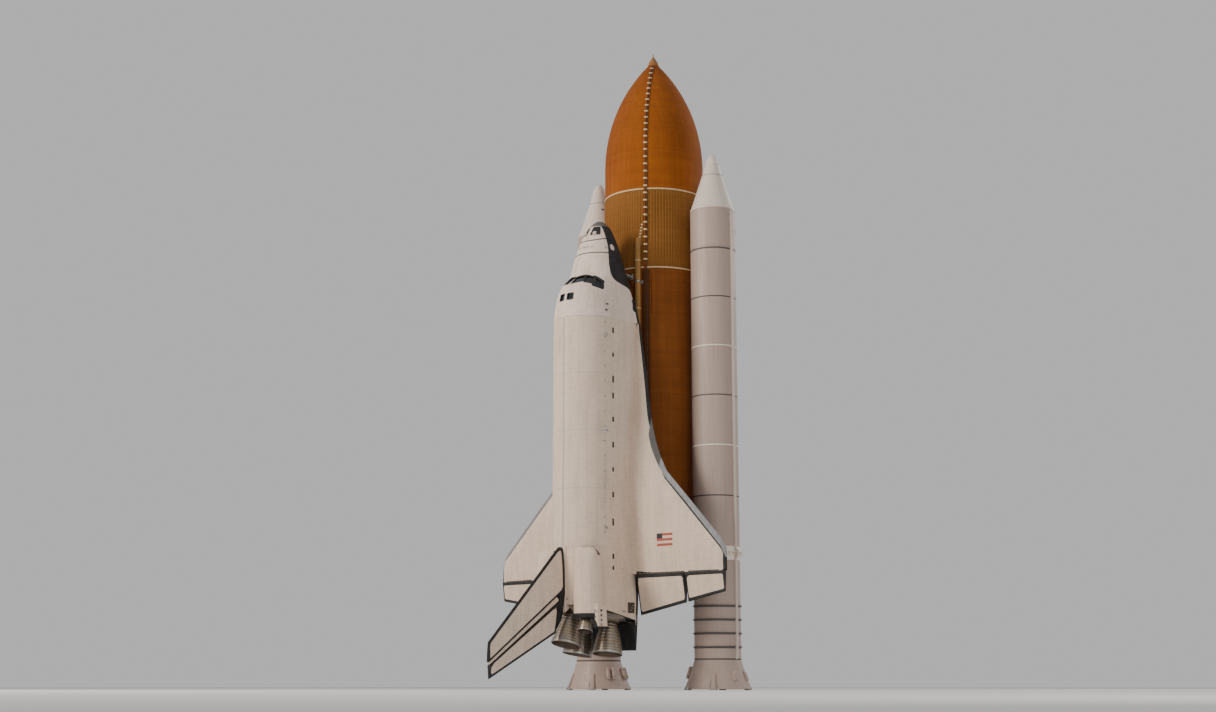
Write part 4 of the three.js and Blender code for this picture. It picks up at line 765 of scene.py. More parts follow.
start, end = INTERTANK_X
lifts = ((start, 0.1), (start + 6, 0.1), (start + 9, 1.5), (985, 1.5), (end - 9, 1.5), (end - 6, 0.1),
         (end, 0.1))
shell.grid([intertank_row(x, lift) for x, lift in lifts])
for x0 in (start, end - 4.5):
    shell.hoop([(x0, 160), (x0, TANK_RADIUS + 1.8), (x0 + 1, TANK_RADIUS + 2.4),
                (x0 + 3.5, TANK_RADIUS + 2.4),
                (x0 + 4.5, TANK_RADIUS + 1.8), (x0 + 4.5, 160)], 144, slot=1)
# Posts that carry the boosters
for side in (-1, 1):
    shell.hull(both_sides((-15.6, 10.6, 0), (15.6, 10.6, 0), (-12, 8, 7.3), (12, 8, 7.3)), bevel=0.8, slot=2,
               place=radial_place(985.7, TANK_RADIUS - 2, 90 * side))
# Access door and the vent plate on the side away from the orbiter
place = radial_place(1040, TANK_RADIUS, 215)
shell.block((-23, 23), (-14, 14), (0.4, 1.7), place=place, slot=0, edge=0.5)
for bx in (-20, -10, 0, 10, 20):
    for by in (-11.5, 11.5):
        shell.stud(place, bx, by, (1.5, 2.1), 0.8, slot=2)
place = radial_place(905, TANK_RADIUS, 140)
shell.block((-10, 10), (-13, 13), (0.4, 2.0), place=place, slot=2, edge=0.5)
shell.stud(place, 2, 3, (1.6, 2.2), 5.2, sides=28, slot=2)
piece("intertank_stringers", shell, "tank", [RIB_FOAM, PALE_FOAM, STEEL], replaces=["intertank"])

shell = Shell()
profile = [(end + 6, TANK_RADIUS)] + [(x, TANK_RADIUS) for x in np.linspace(1160, AFT_FRAME_X - 20, 40)]
for weld in (1377, 1624, 1871):
    profile += [(weld + dx, TANK_RADIUS + rise) for dx, rise in ((-4, 0), (-2, 0.22), (2, 0.22), (4, 0))]
profile = [(end + 0.05, 0), (end + 0.05, TANK_RADIUS)] + sorted(profile)
frame_rim = ((-8, 0), (-6.5, 3.4), (-5, 3.9), (5, 3.9), (6.5, 3.4), (8, 0))
profile += [(AFT_FRAME_X + dx, TANK_RADIUS + rise) for dx, rise in frame_rim]
for bend in np.radians(np.linspace(4, 90, 22)):
    profile.append((AFT_FRAME_X + 8 + (DOME_DEPTH - 8) * math.sin(bend), TANK_RADIUS * math.cos(bend)))
shell.lathe(profile, 144)
# Dome: its cap and two bolted manhole covers
dome_end = AFT_FRAME_X + DOME_DEPTH
shell.lathe([(dome_end - 4, 0), (dome_end - 3.4, 34), (dome_end - 1.4, 34), (dome_end - 0.6, 30),
             (dome_end + 0.2, 0)], 60)
for angle in (20, 200):
    s, c = math.sin(math.radians(angle)), math.cos(math.radians(angle))
    place = place_along((dome_end - 3.2, 46 * s, 46 * c), (1, 0.12 * s, 0.12 * c))
    shell.lathe([(-4, 0), (-4, 15), (0.4, 15), (1.0, 14), (1.0, 0)], 40, place)
    for k in range(18):
        t = 2 * math.pi * k / 18
        y, z = 12.6 * math.cos(t), 12.6 * math.sin(t)
        shell.rod(place @ Vector((0.8, y, z)), place @ Vector((1.6, y, z)), 0.7, sides=6, slot=1)
# Foam closeouts under the bipod's feet, tapering ahead
for side in (-1, 1):
    shell.hull([(x, side * y, 150) for x in (1141.5, 1166) for y in (40, 58)]
               + [(x, side * y, z) for x in (1143, 1165) for y, z in ((41, 171.8), (57, 169.5))]
               + [(1196, side * 49, 158)], bevel=1.0)
# Foam ramp beside the cable tray
ahead, behind = 1135, 1290
rows = []
for x in np.linspace(ahead, behind, 14):
    rise = min((x - ahead) / 22, (behind - x) / 30, 1) * 4.2 + 0.1
    ramp = ((-1, 36.5), (rise * 0.6, 37), (rise, 38), (rise * 0.5, 39.5), (-1, 41))
    rows.append([polar(x, TANK_RADIUS + up, degrees) for up, degrees in ramp])
shell.grid(rows)
piece("hydrogen_tank_foam", shell, "tank", [TANK_FOAM, STEEL], replaces=["hydrogen_tank"],
      sharp=40)

# Oxygen feedline: the pipe, its bellows, flanges and supports
run = TANK_RADIUS + 12.5


def feedline_ring(x, half, radius, **more):
    shell.rod(polar(x - half, run, FEEDLINE_ANGLE), polar(x + half, run, FEEDLINE_ANGLE), radius, sides=36,
              **more)


path = [polar(x, radius, FEEDLINE_ANGLE) for x, radius in
        ((1033, TANK_RADIUS - 1), (1037, TANK_RADIUS + 6), (1046, run - 3))]
path += [polar(x, run, FEEDLINE_ANGLE) for x in (1060, 1100, 1300, 1600, 1900, 2036)]
path += [(2070, 67, 163), (2088, 65, 165), (2099, 65, 173), (2102.8, 65, 177.7)]
shell = Shell()
shell.tube(path, 8.9, 36, smooth=8)
for x in (1066, 1072, 1078, 2018, 2024, 2030):
    feedline_ring(x, 1.6, 10.0, bevel=1.3)
for x in (1100, 1260, 1450, 1650, 1850, 1990):
    feedline_ring(x, 1.4, 10.0, bevel=0.4, slot=1)
for x in (1170, 1390, 1610, 1830, 2010):
    for lean in (-3.1, 3.1):
        shell.rod(polar(x, TANK_RADIUS - 1, FEEDLINE_ANGLE + lean),
                  polar(x, run - 2, FEEDLINE_ANGLE + lean * 0.5), 2.0, sides=14, slot=2)
    feedline_ring(x, 3.4, 9.8, slot=2, bevel=0.5)
    shell.block((-6, 6), (-15, 15), (-1.2, 0.9), place=radial_place(x, TANK_RADIUS, FEEDLINE_ANGLE), slot=2)
shell.hull(both_sides((-16, 9, 0), (14, 13, 0), (-6, 7, 6), (8, 9, 8)), bevel=1.5,
           place=radial_place(1034, TANK_RADIUS, FEEDLINE_ANGLE))
piece("oxygen_feedline_pipe", shell, "tank", [LINE_FOAM, PALE_FOAM, STEEL], replaces=["oxygen_feedline"])

# Hydrogen feedline, which goes into the dome
shell = Shell()
shell.tube([(2128, -65, 92), (2135, -65, 112), (2135.5, -65, 132), (2126, -65, 156), (2111, -65, 171),
            (2106, -65, 177.6)], 8.2, 36, smooth=8)
for x, z, dx, dz in ((2135.6, 124, 0.02, 1), (2135.8, 131, -0.06, 1), (2112, 169.5, -0.75, 0.9)):
    shell.collar(Vector((x, -65, z)), Vector((dx, 0, dz)).normalized(), 1.6, 9.0, sides=36, bevel=0.5, slot=1)
shell.hull(both_sides((2108, 17, 84), (2150, 15, 84), (2118, 12, 108), (2141, 11, 106), middle=-65), bevel=3)
piece("hydrogen_feedline_pipe", shell, "tank", [LINE_FOAM, PALE_FOAM], replaces=["hydrogen_feedline"])

# Cable tray, gas line and their brackets
shell = Shell()


def standing(x, radius, sideways):
    """A point at a radius from the stack's axis, beside the tray's middle line."""
    t = math.radians(TRAY_ANGLE)
    _, y, z = polar(x, radius, TRAY_ANGLE)
    return (x, y + sideways * math.cos(t), z - sideways * math.sin(t))


def tray_run(x0, x1, steps, slot=0):
    rows = []
    for x in np.linspace(x0, x1, steps):
        base = ogive_radius(x) + (2.7 if INTERTANK_X[0] - 2 < x < INTERTANK_X[1] + 2 else 0.1)
        box = ((-0.6, -3.6), (-0.6, 2.6), (5.2, 2.6), (6.0, 1.9), (6.0, -2.9), (5.2, -3.6))
        rows.append([standing(x, base + up, sideways) for up, sideways in box])
    shell.grid(rows, slot=slot)


tray_run(378, OGIVE_END_X, 60)
tray_run(OGIVE_END_X, 848, 4)
tray_run(848, 1128, 4)
# On the hydrogen tank the tray is dark, as part of its painted shadow
tray_run(1128, 2030, 6, 3)
# Gas line
line = [standing(x, ogive_radius(x) + (3.8 if 845 < x < 1130 else 3.0), 5.2) for x in
        (376, 390, 405, 425, 450, 480, 515, 555, 600, 650, 700, 745, 800, 840, 860, 1115, 1140, 1400, 1700,
         2028)]
shell.tube(line, 1.15, 14, smooth=4, slot=1)
# Painted shadow of the tray: dark banks beside it, with a lump at each second bracket
ahead, behind = 1130, 2028
rows = []
for x in np.linspace(ahead, behind, 120):
    lump = 1.0 + 0.9 * max(0.0, math.cos((x - ahead) * 2 * math.pi / 52)) ** 3
    rise = min((x - ahead) / 10, (behind - x) / 10, 1) * lump + 0.05
    bank = ((-0.6, -12), (0.5 * rise, -11), (1.3 * rise, -6), (1.3 * rise, 9), (0.5 * rise, 14), (-0.6, 15))
    rows.append([standing(x, TANK_RADIUS + up, sideways) for up, sideways in bank])
shell.grid(rows, slot=3)
# Brackets over the tray and the gas line; on the hydrogen tank they are dark, as part of the tray's painted
# shadow
for x in [*np.linspace(392, 720, 15), *np.arange(745, 1120, 25.0), *np.arange(1145, 2030, 26.0)]:
    base = ogive_radius(x) + (2.6 if 845 < x < 1130 else 0.0)
    slope = (ogive_radius(x + 1) - ogive_radius(x - 1)) / 2
    points = []
    for dx in (-2.6, 2.6):
        low = base + dx * slope
        points += [standing(x + dx, low + up, sideways) for up, sideways in
                   ((-1, -4.6), (-1, 7.6), (6.6, -4.2), (6.6, 2.4), (4.6, 7.0))]
    shell.hull(points, slot=2 if x < 1130 else 3, bevel=0.35)
# Small brackets along the run from the tray over to the feedline's head
for share in np.linspace(0.1, 1, 6):
    degrees = TRAY_ANGLE - 3 - (TRAY_ANGLE - 4 - FEEDLINE_ANGLE) * share
    shell.hull(both_sides((-3, 4, 0), (3, 4, 0), (-2, 3, 4), (2, 3, 4)), slot=2, bevel=0.4,
               place=radial_place(972 + 56 * share, TANK_RADIUS + 1, degrees))
piece("cable_tray_and_gas_line", shell, "tank", [TANK_FOAM, DARK_METAL, PALE_FOAM, TRAY_SHADOW_FOAM],
      replaces=["tank_cable_tray"])

# Forward bipod
shell = Shell()
for side in (-1, 1):
    foot, top = Vector((1154, side * 49, 176)), Vector((1129.9, side * 4.5, 204))
    shell.rod(foot, top, 4.3, sides=28)
    for share in (0.12, 0.86):
        shell.collar(foot.lerp(top, share), (top - foot).normalized(), 1.5, 4.9, sides=28, bevel=0.4)
    shell.block((1144.5, 1163.5), (side * 49 - 7, side * 49 + 7), (172.1, 175.0), edge=0.6)
    shell.rod((1154, side * 49 - 5.5, 177), (1154, side * 49 + 5.5, 177), 4.6, sides=28)
    for k in range(4):
        t = 2 * math.pi * k / 4
        shell.stud(Matrix.Translation((1154, side * 49, 175)), 7.6 * math.cos(t), 7.6 * math.sin(t), (0, 0.7),
                   0.8)
shell.hull(both_sides((1121.5, 9.5, 198.5), (1138.5, 9.5, 198.5), (1123, 7, 211.6), (1137, 7, 211.6)),
           bevel=1.0)
shell.rod((1129.9, -10, 203), (1129.9, 10, 203), 4.4, sides=28)
piece("forward_bipod_struts", shell, "tank", [STEEL], replaces=["forward_bipod"])

# Aft attach posts with their struts, and the crossbeam with the umbilical plates
for name, side in SIDES:
    shell = Shell()
    shell.hull([(2058 + sign * dx, y, z) for dx, y, z in
                ((11, 83.5, 160), (11, 95.5, 160), (10, 84, 200), (10, 95, 200)) for sign in (-1, 1)],
                bevel=1.0)
    shell.rod((2058, 89.5, 196), (2058, 89.5, 205.8), 6.4, sides=32)
    for a, b in (((2052, 96.5, 186), (1960, 106.5, 118)), ((2058, 98.5, 180), (2058, 144.5, 70))):
        a, b = Vector(a), Vector(b)
        along = (b - a).normalized()
        shell.rod(a, b - along * 2, 6.2, sides=28)
        for share in (0.06, 0.16, 0.8):
            shell.collar(a.lerp(b, share), along, 1.6, 6.9, sides=28, bevel=0.5, slot=1)
    shell.hull([(1950, 100, 124), (1950, 114, 114), (1974, 100, 124), (1974, 114, 114), (1955, 104, 134),
                (1968, 104, 132),
                (1955, 113, 126), (1968, 113, 124)], bevel=1.0)
    piece(f"aft_attach_struts_{name}", shell.side(side), "tank", [LINE_FOAM, STEEL],
          replaces=[f"aft_attach_{name}"])

shell = Shell()
rows = []
for y in np.linspace(-82, 82, 9):
    low, high = 178.4, 195.6 if abs(y) > 50 else 192.5
    rows.append([(2047, y, low + 3), (2049, y, low), (2067, y, low), (2069, y, low + 3), (2069, y, high - 3),
                 (2066, y, high), (2050, y, high), (2047, y, high - 3)])
shell.grid(rows)
for side in (-1, 1):
    shell.block((2084.5, 2121.5), across(side, 45, 81), (178.4, 204.5), edge=2.0)
    shell.block((2062, 2090), across(side, 48, 78), (181, 193), edge=1.5)
    shell.block((2086, 2120), across(side, 47, 79), (204.3, 206.6), edge=0.8, slot=1)
    for x in (2089, 2096, 2103, 2110, 2117):
        shell.rod((x, side * 77.5, 180), (x, side * 77.5, 178.2), 1.1, sides=10, slot=1)
    for y in (side * 50, side * 58, side * 66, side * 74):
        shell.tube([(2121, y, 196), (2124, y, 190), (2121.5, y, 182), (2112, y, 178.6)], 1.0, 10, smooth=5,
                   slot=2)
piece("aft_crossbeam_and_umbilicals", shell, "tank", [LINE_FOAM, STEEL, DARK_METAL],
      replaces=["aft_crossbeam"])

# Solid boosters
BOOSTER_RADIUS = 73
CASE_BANDS = (1673, 1715, 1757, 1799)
RING_X = 1511
CASE_END_X = 1839.5
SKIRT_BASE_X = 1930.64
PIVOT_X = 1850
# Joints round the motor case: columns are station, dark or pale, half width and height.
CASE_JOINTS = (
    (531, 0, 2.6, 0.35), (691, 0, 2.0, 0.3), (851, 1, 1.8, 0.3), (1011, 0, 2.0, 0.3), (1171, 1, 1.8, 0.3),
    (1331, 0, 2.0, 0.3),
    (1491, 1, 1.8, 0.3), (1836.5, 0, 2.2, 0.35),
)
FIELD_JOINTS = (851, 1171, 1491)


def band(shell, x, half, radius, height, slot=0, sides=96):
    edge = min(half, height) * 0.5
    shell.hoop([(x - half, radius - 1.2), (x - half, radius + height - edge),
                (x - half + edge, radius + height),
                (x + half - edge, radius + height), (x + half, radius + height - edge),
                (x + half, radius - 1.2)],
               sides, slot=slot)


def first_clear(a, b, shares, middle_y, radius):
    """The first of some points between two ends that lies outside a round body."""
    points = (a.lerp(b, share) for share in shares)
    return next(p for p in points if math.hypot(p.y - middle_y, p.z) > radius)


for name, side in SIDES:
    part = f"booster_{name}"
    tank_side = -90 * side

    shell = Shell()
    profile = [(200, 0), (200.4, 4.2), (201.6, 7.4), (204.5, 11), (210, 15), (217, 18.2), (228, 21.6)]
    profile += [(x, 21.6 + (x - 228) * (34 - 21.6) / 47) for x in (240, 255, 274.4)]
    profile += [(274.6, 34.6), (277.5, 35.4)]
    profile += [(x, 34 + (x - 275) * 39 / 120) for x in (300, 330, 360, 391)]
    profile += [(391.2, 72.8), (394.9, 73.0), (394.9, 0)]
    shell.lathe(profile, 96)
    shell.hoop([(226, 19), (226, 21.9), (229.5, 22.9), (229.5, 19)], 96, slot=1)
    shell.hoop([(273.2, 30), (273.2, 34.5), (274.8, 34.9), (274.8, 30)], 96, slot=2)
    # Separation motors' mouths on the side of the tank
    for lean in (-33, -11, 11, 33):
        angle = tank_side + lean
        place = place_along(polar(300, 40.5, angle), polar(-1.2, 1, angle))
        shell.lathe([(-2, 0), (-2, 4.6), (3.4, 4.3), (3.4, 3.4), (0.6, 2.0), (0.6, 0)], 24, place, slot=2)
    for k in range(24):
        shell.rod(polar(389, 71.0, 15 * k), polar(389, 73.0, 15 * k), 0.9, sides=8, slot=1)
        shell.rod(polar(389, 71.0, 15 * k), polar(389, 73.0, 15 * k), 0.9, sides=8, slot=1)
    piece(f"booster_cone_{name}", shell, part, [CONE_WHITE, PALE_JOINTS_AND_GLINT, DARK_JOINTS_AND_SHADE],
          replaces=[f"booster_nose_{name}"])

    shell = Shell()
    shell.lathe([(395, 0), (395, 73.5), (400, 73.5), (400.2, BOOSTER_RADIUS), (519, BOOSTER_RADIUS),
                 (519.2, 73.5), (523.7, 73.5), (523.7, 0)], 96)
    for x in (418, 436, 472, 492, 508):
        band(shell, x, 0.8, BOOSTER_RADIUS, 0.2)
    shell.hull([(x, -side * y, sign * z) for x, y, z in
                ((427, 66, 9), (458.5, 66, 9), (428, 79.2, 7.5), (457.5, 79.2, 7.5), (418, 72, 10))
                for sign in (-1, 1)], bevel=0.8, slot=1)
    place = radial_place(462, BOOSTER_RADIUS, -tank_side + 40)
    shell.block((-12, 12), (-9, 9), (-0.6, 0.5), place=place, edge=0.3)
    for bx in (-10.4, 10.4):
        for by in (-7.4, 0, 7.4):
            shell.stud(place, bx, by, (0.3, 0.9), 0.6, slot=1)
    piece(f"booster_forward_skirt_shell_{name}", shell, part, [BOOSTER_WHITE, STEEL],
          replaces=[f"booster_forward_skirt_{name}"])

    shell = Shell()
    shell.lathe([(523.9, 0), (523.9, 72.6), (524.4, BOOSTER_RADIUS)] + [(x, BOOSTER_RADIUS)
                                                                        for x in np.linspace(560, 1830, 40)]
                + [(CASE_END_X - 0.1, BOOSTER_RADIUS), (CASE_END_X - 0.1, 62), (1856, 48), (1857, 44),
                   (1853, 36), (1838, 30),
                   (1826, 18), (1822, 8), (1822, 0)], 96)
    for x, pale, half, height in CASE_JOINTS:
        band(shell, x, half, BOOSTER_RADIUS, height, slot=2 if pale else 1)
    for x in FIELD_JOINTS:
        band(shell, x + 3.6, 1.6, BOOSTER_RADIUS, 0.35, slot=0)
        for k in range(60):
            shell.rod(polar(x + 3.6, BOOSTER_RADIUS, 6 * k), polar(x + 3.6, BOOSTER_RADIUS + 0.7, 6 * k), 0.5,
                      sides=6, slot=0)
    # Stiffener rings, dark all over, each with a dark line just aft of it: painted shade under the rings
    for x in CASE_BANDS:
        shell.hoop([(x - 1.8, 70), (x - 1.8, 73.1), (x - 0.5, 73.6), (x - 0.5, 76.4), (x - 1.6, 76.6),
                    (x - 1.6, 77),
                    (x + 1.6, 77), (x + 1.6, 76.6), (x + 0.5, 76.4), (x + 0.5, 73.6), (x + 1.8, 73.1),
                    (x + 1.8, 70)],
                   96, slot=1)
        band(shell, x + 3.6, 1.4, BOOSTER_RADIUS, 0.15, slot=1)
    piece(f"booster_case_shell_{name}", shell, part, [BOOSTER_WHITE, DARK_JOINTS_AND_SHADE, PALE_JOINTS_AND_GLINT],
          replaces=[f"booster_case_{name}"])

    shell = Shell()
    outboard = 90 * side
    t = math.radians(outboard)

    def tunnel_row(x, top):
        half = 4.8
        ring = [(-half, 71.5), (-half, top - 1.4), (-half + 1.2, top), (half - 1.2, top), (half, top - 1.4),
                (half, 71.5)]
        return [(x, r * math.sin(t), c) for c, r in ring]

    shell.grid([tunnel_row(402, 75), tunnel_row(408, 79.2), tunnel_row(1497, 79.2), tunnel_row(1501, 85.6),
                tunnel_row(1521, 85.6),
                tunnel_row(1525, 79.2), tunnel_row(1830, 79.2), tunnel_row(1836.5, 75.5)])
    for x in list(np.arange(440, 1490, 30)) + list(np.arange(1535, 1830, 30)):
        shell.block((x - 0.5, x + 0.5), (-5.0, 5.0), (-1, 0.15), place=radial_place(0, 79.2, outboard),
                    edge=0.1)
    piece(f"booster_tunnel_cover_{name}", shell, part, [TUNNEL_WHITE], replaces=[f"booster_tunnel_{name}"])

    # The aft attach ring and its ramps are pale: partly a painted glint round the ring
    shell = Shell()
    r = BOOSTER_RADIUS + 0.1
    rim = ((-5.8, r), (-5.8, 81.4), (-5.2, 82), (-4.2, 82), (-4.0, 76.5), (4.0, 76.5), (4.2, 82), (5.2, 82),
           (5.8, 81.4),
           (5.8, r))
    shell.hoop([(RING_X + dx, radius) for dx, radius in rim], 96)
    for k in range(36):
        shell.block((-4.4, 4.4), (-0.4, 0.4), (0, 5.2), place=radial_place(RING_X, 76, 10 * k))
    for z_tank, z_ring in ((62, 46), (-62, -46), (-30, 40)):
        a = Vector((RING_X + 2, -side * 110.5, z_tank * 0.9))
        b = Vector((RING_X, -side * 64, z_ring))
        # The strut runs from the tank's aft frame to the ring
        a = first_clear(a, b, np.linspace(0, 1, 200), -side * 250.5, 170)
        b = first_clear(a, b, np.linspace(1, 0, 200), 0, 73.2)
        shell.rod(a, b, 3.9, sides=24, slot=1)
        for share in (0.1, 0.5, 0.85):
            shell.collar(a.lerp(b, share), (b - a).normalized(), 1.4, 4.6, sides=24, slot=1, bevel=0.4)
    # Ramps on the case each side of the ring, pale as a painted glint that widens the ring's bright band
    for ramp in (((-19, -0.4), (-19, 0.1), (-12, 1.6), (-6, 2.6), (-6, -0.4)),
                 ((6, -0.4), (6, 2.6), (12, 1.6), (21, 0.1), (21, -0.4))):
        shell.hoop([(RING_X + dx, r + rise) for dx, rise in ramp], 96)
    piece(f"booster_attach_ring_{name}", shell, part, [PALE_JOINTS_AND_GLINT, STEEL],
          replaces=[f"booster_aft_ring_{name}"])

    shell = Shell()
    base = SKIRT_BASE_X - 3
    outer = Curve([CASE_END_X, 1870, 1900, base - 4], [BOOSTER_RADIUS + 0.3, 82.6, 93.2, 102.2])
    profile = [(CASE_END_X + 0.1, BOOSTER_RADIUS - 2), (CASE_END_X + 0.1, BOOSTER_RADIUS + 0.3)]
    profile += [(x, outer.at(x)) for x in np.linspace(CASE_END_X + 4, base - 4.2, 16)]
    profile += [(base - 4, 103.4), (base - 3.4, 104.1), (base - 0.6, 104.1), (base, 103.4), (base, 97.4),
                (base - 3, 96.9)]
    profile += [(x, outer.at(x) - 5.4) for x in np.linspace(base - 8, CASE_END_X + 8, 10)]
    profile += [(CASE_END_X + 0.1, BOOSTER_RADIUS - 5.5)]
    shell.hoop(profile, 96)
    for x in (1852, 1868, 1884, 1900, 1916):
        r = outer.at(x)
        band(shell, x, 0.6, r - 0.1, 0.35)
        shell.hoop([(x - 1, r - 5.6), (x - 1, r - 8.4), (x + 1, r - 8.1), (x + 1, r - 5.2)], 96, slot=2)
    for degrees in (30, 150, 210, 330):
        turned = Matrix.Rotation(-math.radians(degrees), 4, "X")
        # A post with gussets each side and a bolted shoe
        shell.hull(both_sides((1878, 4.5, 84), (1878, 4.5, 88.5), (1924, 7, 94), (1924, 7, 108)), bevel=0.7,
                   place=turned)
        for sign in (-1, 1):
            shell.hull([(x, sign * y, z) for y in (8.6, 9.6) for x,
                        z in ((1896, 90), (1924, 94), (1924, 107.5))],
                       place=turned)
        shell.hull(both_sides((1923, 9.8, 92.2), (1923, 9.8, 108.8), (SKIRT_BASE_X, 9.8, 92.2),
                              (SKIRT_BASE_X, 9.8, 108.8)), bevel=0.6, slot=1, place=turned)
        shell.rod(turned @ Vector((1921.4, 0, 105)), turned @ Vector((1918, 0, 105)), 2.2, sides=6, slot=1)
    # Separation motors
    for degrees in (242, 254, 286, 298):
        a, b = Vector(polar(1858, 84.5, degrees)), Vector(polar(1896, 96.5, degrees))
        place = place_along(a, b - a)
        length = (b - a).length
        shell.lathe([(0, 0), (0.6, 3.0), (3, 5.6), (6, 6.3), (length - 5, 6.3), (length - 4.4, 5.2),
                     (length - 2, 5.2),
                     (length, 6.2), (length, 5.4), (length - 3, 3.6), (length - 3, 0)], 28, place)
        for s in (8, length - 8):
            shell.collar(place @ Vector((s, 0, 0)), (b - a).normalized(), 1.2, 6.9, sides=28, slot=2,
                         bevel=0.3)
    # Power unit fairings on the outboard face
    for degrees in (72, 108):
        shell.hull(both_sides((-16, 6, -4), (16, 7, 3), (-10, 5, 4), (12, 6, 11)), bevel=1.2,
                   place=radial_place(1888, 88.5, degrees))
    piece(f"booster_skirt_shell_{name}", shell.side(side), part, [BOOSTER_WHITE, STEEL, CORK],
          replaces=[f"booster_aft_skirt_{name}"])

    shell = Shell()
    exit_x = SKIRT_BASE_X - 10.4
    bell = Curve([1866, 1874, 1890, exit_x], [30.5, 34, 46, 60.4])
    profile = [(1823, 0), (1824, 12)]
    profile += [(PIVOT_X + 30.8 * math.cos(math.radians(d)), 30.8 * math.sin(math.radians(d)))
                for d in range(150, 58, -6)]
    profile += [(x, bell.at(x)) for x in np.linspace(1870, exit_x - 1, 14)]
    profile += [(exit_x, 60.8), (exit_x, 57.6)]
    profile += [(x, bell.at(x) - 3.0) for x in np.linspace(exit_x - 4, 1874, 12)]
    profile += [(1871, 24), (1868, 12), (1868, 0)]
    shell.lathe(profile, 72)
    for x in (1882, 1896, 1909):
        band(shell, x, 0.8, bell.at(x), 0.5, slot=1, sides=72)
    shell.rod((PIVOT_X, -39.5, 0), (PIVOT_X, 39.5, 0), 3.9, sides=24, slot=2)
    for degrees in (135, 225):
        shell.rod(polar(1872, 33, degrees), polar(1852, 30, degrees), 2.6, sides=18, slot=2)
    piece(f"booster_nozzle_shell_{name}", shell, part, [CORK, DARK_JOINTS_AND_SHADE, STEEL],
          body=f"booster_nozzle_{name}",
          replaces=[f"booster_nozzle_{name}"])

# Orbiter body: station, half width, belly z, z of the widest line, top z, lower exponent, upper exponent.
NOSE_SECTIONS = (
    (240, 9, 329, 338, 347, 2, 2), (248, 21, 319, 338, 358, 2, 2), (262, 34, 309, 339, 371, 2.2, 2),
    (285, 47, 300, 341, 386, 2.3, 2), (320, 61, 291, 345, 402, 2.6, 2), (370, 76, 282, 351, 418, 3, 2),
    (428, 89, 275, 359, 433, 4, 1.9), (448, 92, 273, 363, 452, 5, 1.9), (478, 96, 271, 370, 484, 6, 1.9),
    (504, 99, 269, 378, 494, 8, 1.95), (545, 102.5, 268, 390, 501, 16, 2), (582, 104, 267, 400, 504, 40, 2),
)
AFT_SECTIONS = (
    (1302, 104, 267, 400, 504, 40, 2), (1392, 104, 269, 400, 504, 40, 2), (1450, 110, 273, 400, 504, 30, 2.2),
    (1532, 112, 280, 400, 500, 30, 2.4),
)
CABIN_END_X, BAY_END_X = 582, 1302
nose_rows = table_curve(NOSE_SECTIONS)
aft_rows = table_curve(AFT_SECTIONS)
MID_ROW = AFT_SECTIONS[0][1:]


def quarter_curve(width, height, exponent, count):
    """A superellipse quarter from its side to its crown, with more points where it bends more."""
    t = np.linspace(0, np.pi / 2, 500)
    y = width * np.cos(t).clip(0) ** (2 / exponent)
    z = height * np.sin(t) ** (2 / exponent)
    y[-1], z[0] = 0, 0
    steps = np.hypot(np.diff(y), np.diff(z))
    heading = np.unwrap(np.arctan2(np.diff(z), np.diff(y)))
    bend = np.concatenate([[0], np.abs(np.diff(heading))])
    weight = 0.55 * steps / steps.sum() + 0.45 * bend / max(bend.sum(), 1e-9)
    at = np.concatenate([[0], np.cumsum(weight)])
    wanted = np.linspace(0, at[-1], count + 1)
    return np.interp(wanted, at, y), np.interp(wanted, at, z)


def body_ring(x, row, grow=0.0, count=26):
    """A ring of the body, from its starboard widest line over the top and back under the belly."""
    width, belly, widest, top, lower, upper = row
    uy, uz = quarter_curve(width + grow, top - widest + grow, upper, count)
    ly, lz = quarter_curve(width + grow, widest - belly + grow, lower, count)
    y = np.concatenate([uy[:-1], -uy[::-1][:-1], -ly[:-1], ly[::-1][:-1]])
    z = widest + np.concatenate([uz[:-1], uz[::-1][:-1], -lz[:-1], -lz[::-1][:-1]])
    return np.stack([np.full(len(y), x), y, z], 1)


def body_rows(curve, stations, grow=0.0, count=26):
    return [body_ring(x, curve.at(x), grow, count) for x in stations]

def girth_uv(rows):
    """UV from the station and the way round."""
    rows = np.asarray(rows, float)
    return np.stack([np.repeat(rows[:, :1, 0], rows.shape[1] + 1, 1), girth(rows)], 2)

def planar_uv(rows, axes=(0, 1)):
    """UV from two of a point's three places."""
    return wrapped(rows)[:, :, list(axes)]


def line_at(table):
    xs, ys = zip(*table)
    return lambda x: np.interp(x, xs, ys)


# Where the black tiles end on the body's sides: height of the line at each station
CHIN_LINE = line_at((
    (240, 356), (262, 360), (300, 364), (340, 368), (370, 374), (400, 379), (430, 380), (446, 376),
    (454, 366),
    (461, 342), (467, 314), (474, 296), (484, 286), (500, 280), (507, 291), (540, 289), (549, 277),
    (582, 274),
))


# Corners of the windows: station and degrees from the widest line
WINDOWS = (
    ((444, 88), (440, 69), (464, 63), (470, 86)),
    ((442, 66), (450, 47), (473, 43), (467, 59)),
    ((454, 43), (466, 29), (485, 27), (478, 40)),
    ((506, 86), (506, 74), (527, 74), (527, 86)),
)
DEGREE = 1.45  # inches along the skin for each degree, near the windows


def quad_distance(corners, x, angle):
    """Inches inside a window's outline, measured on the skin."""
    points = [(a, b * DEGREE) for a, b in corners]
    middle = np.mean(points, 0)
    found = []
    for (x0, a0), (x1, a1) in zip(points, points[1:] + points[:1]):
        nx, na = a1 - a0, x0 - x1
        length = math.hypot(nx, na)
        sign = 1 if (middle[0] - x0) * nx + (middle[1] - a0) * na > 0 else -1
        found.append(sign * ((x - x0) * nx + (angle * DEGREE - a0) * na) / length)
    return np.minimum.reduce(found)


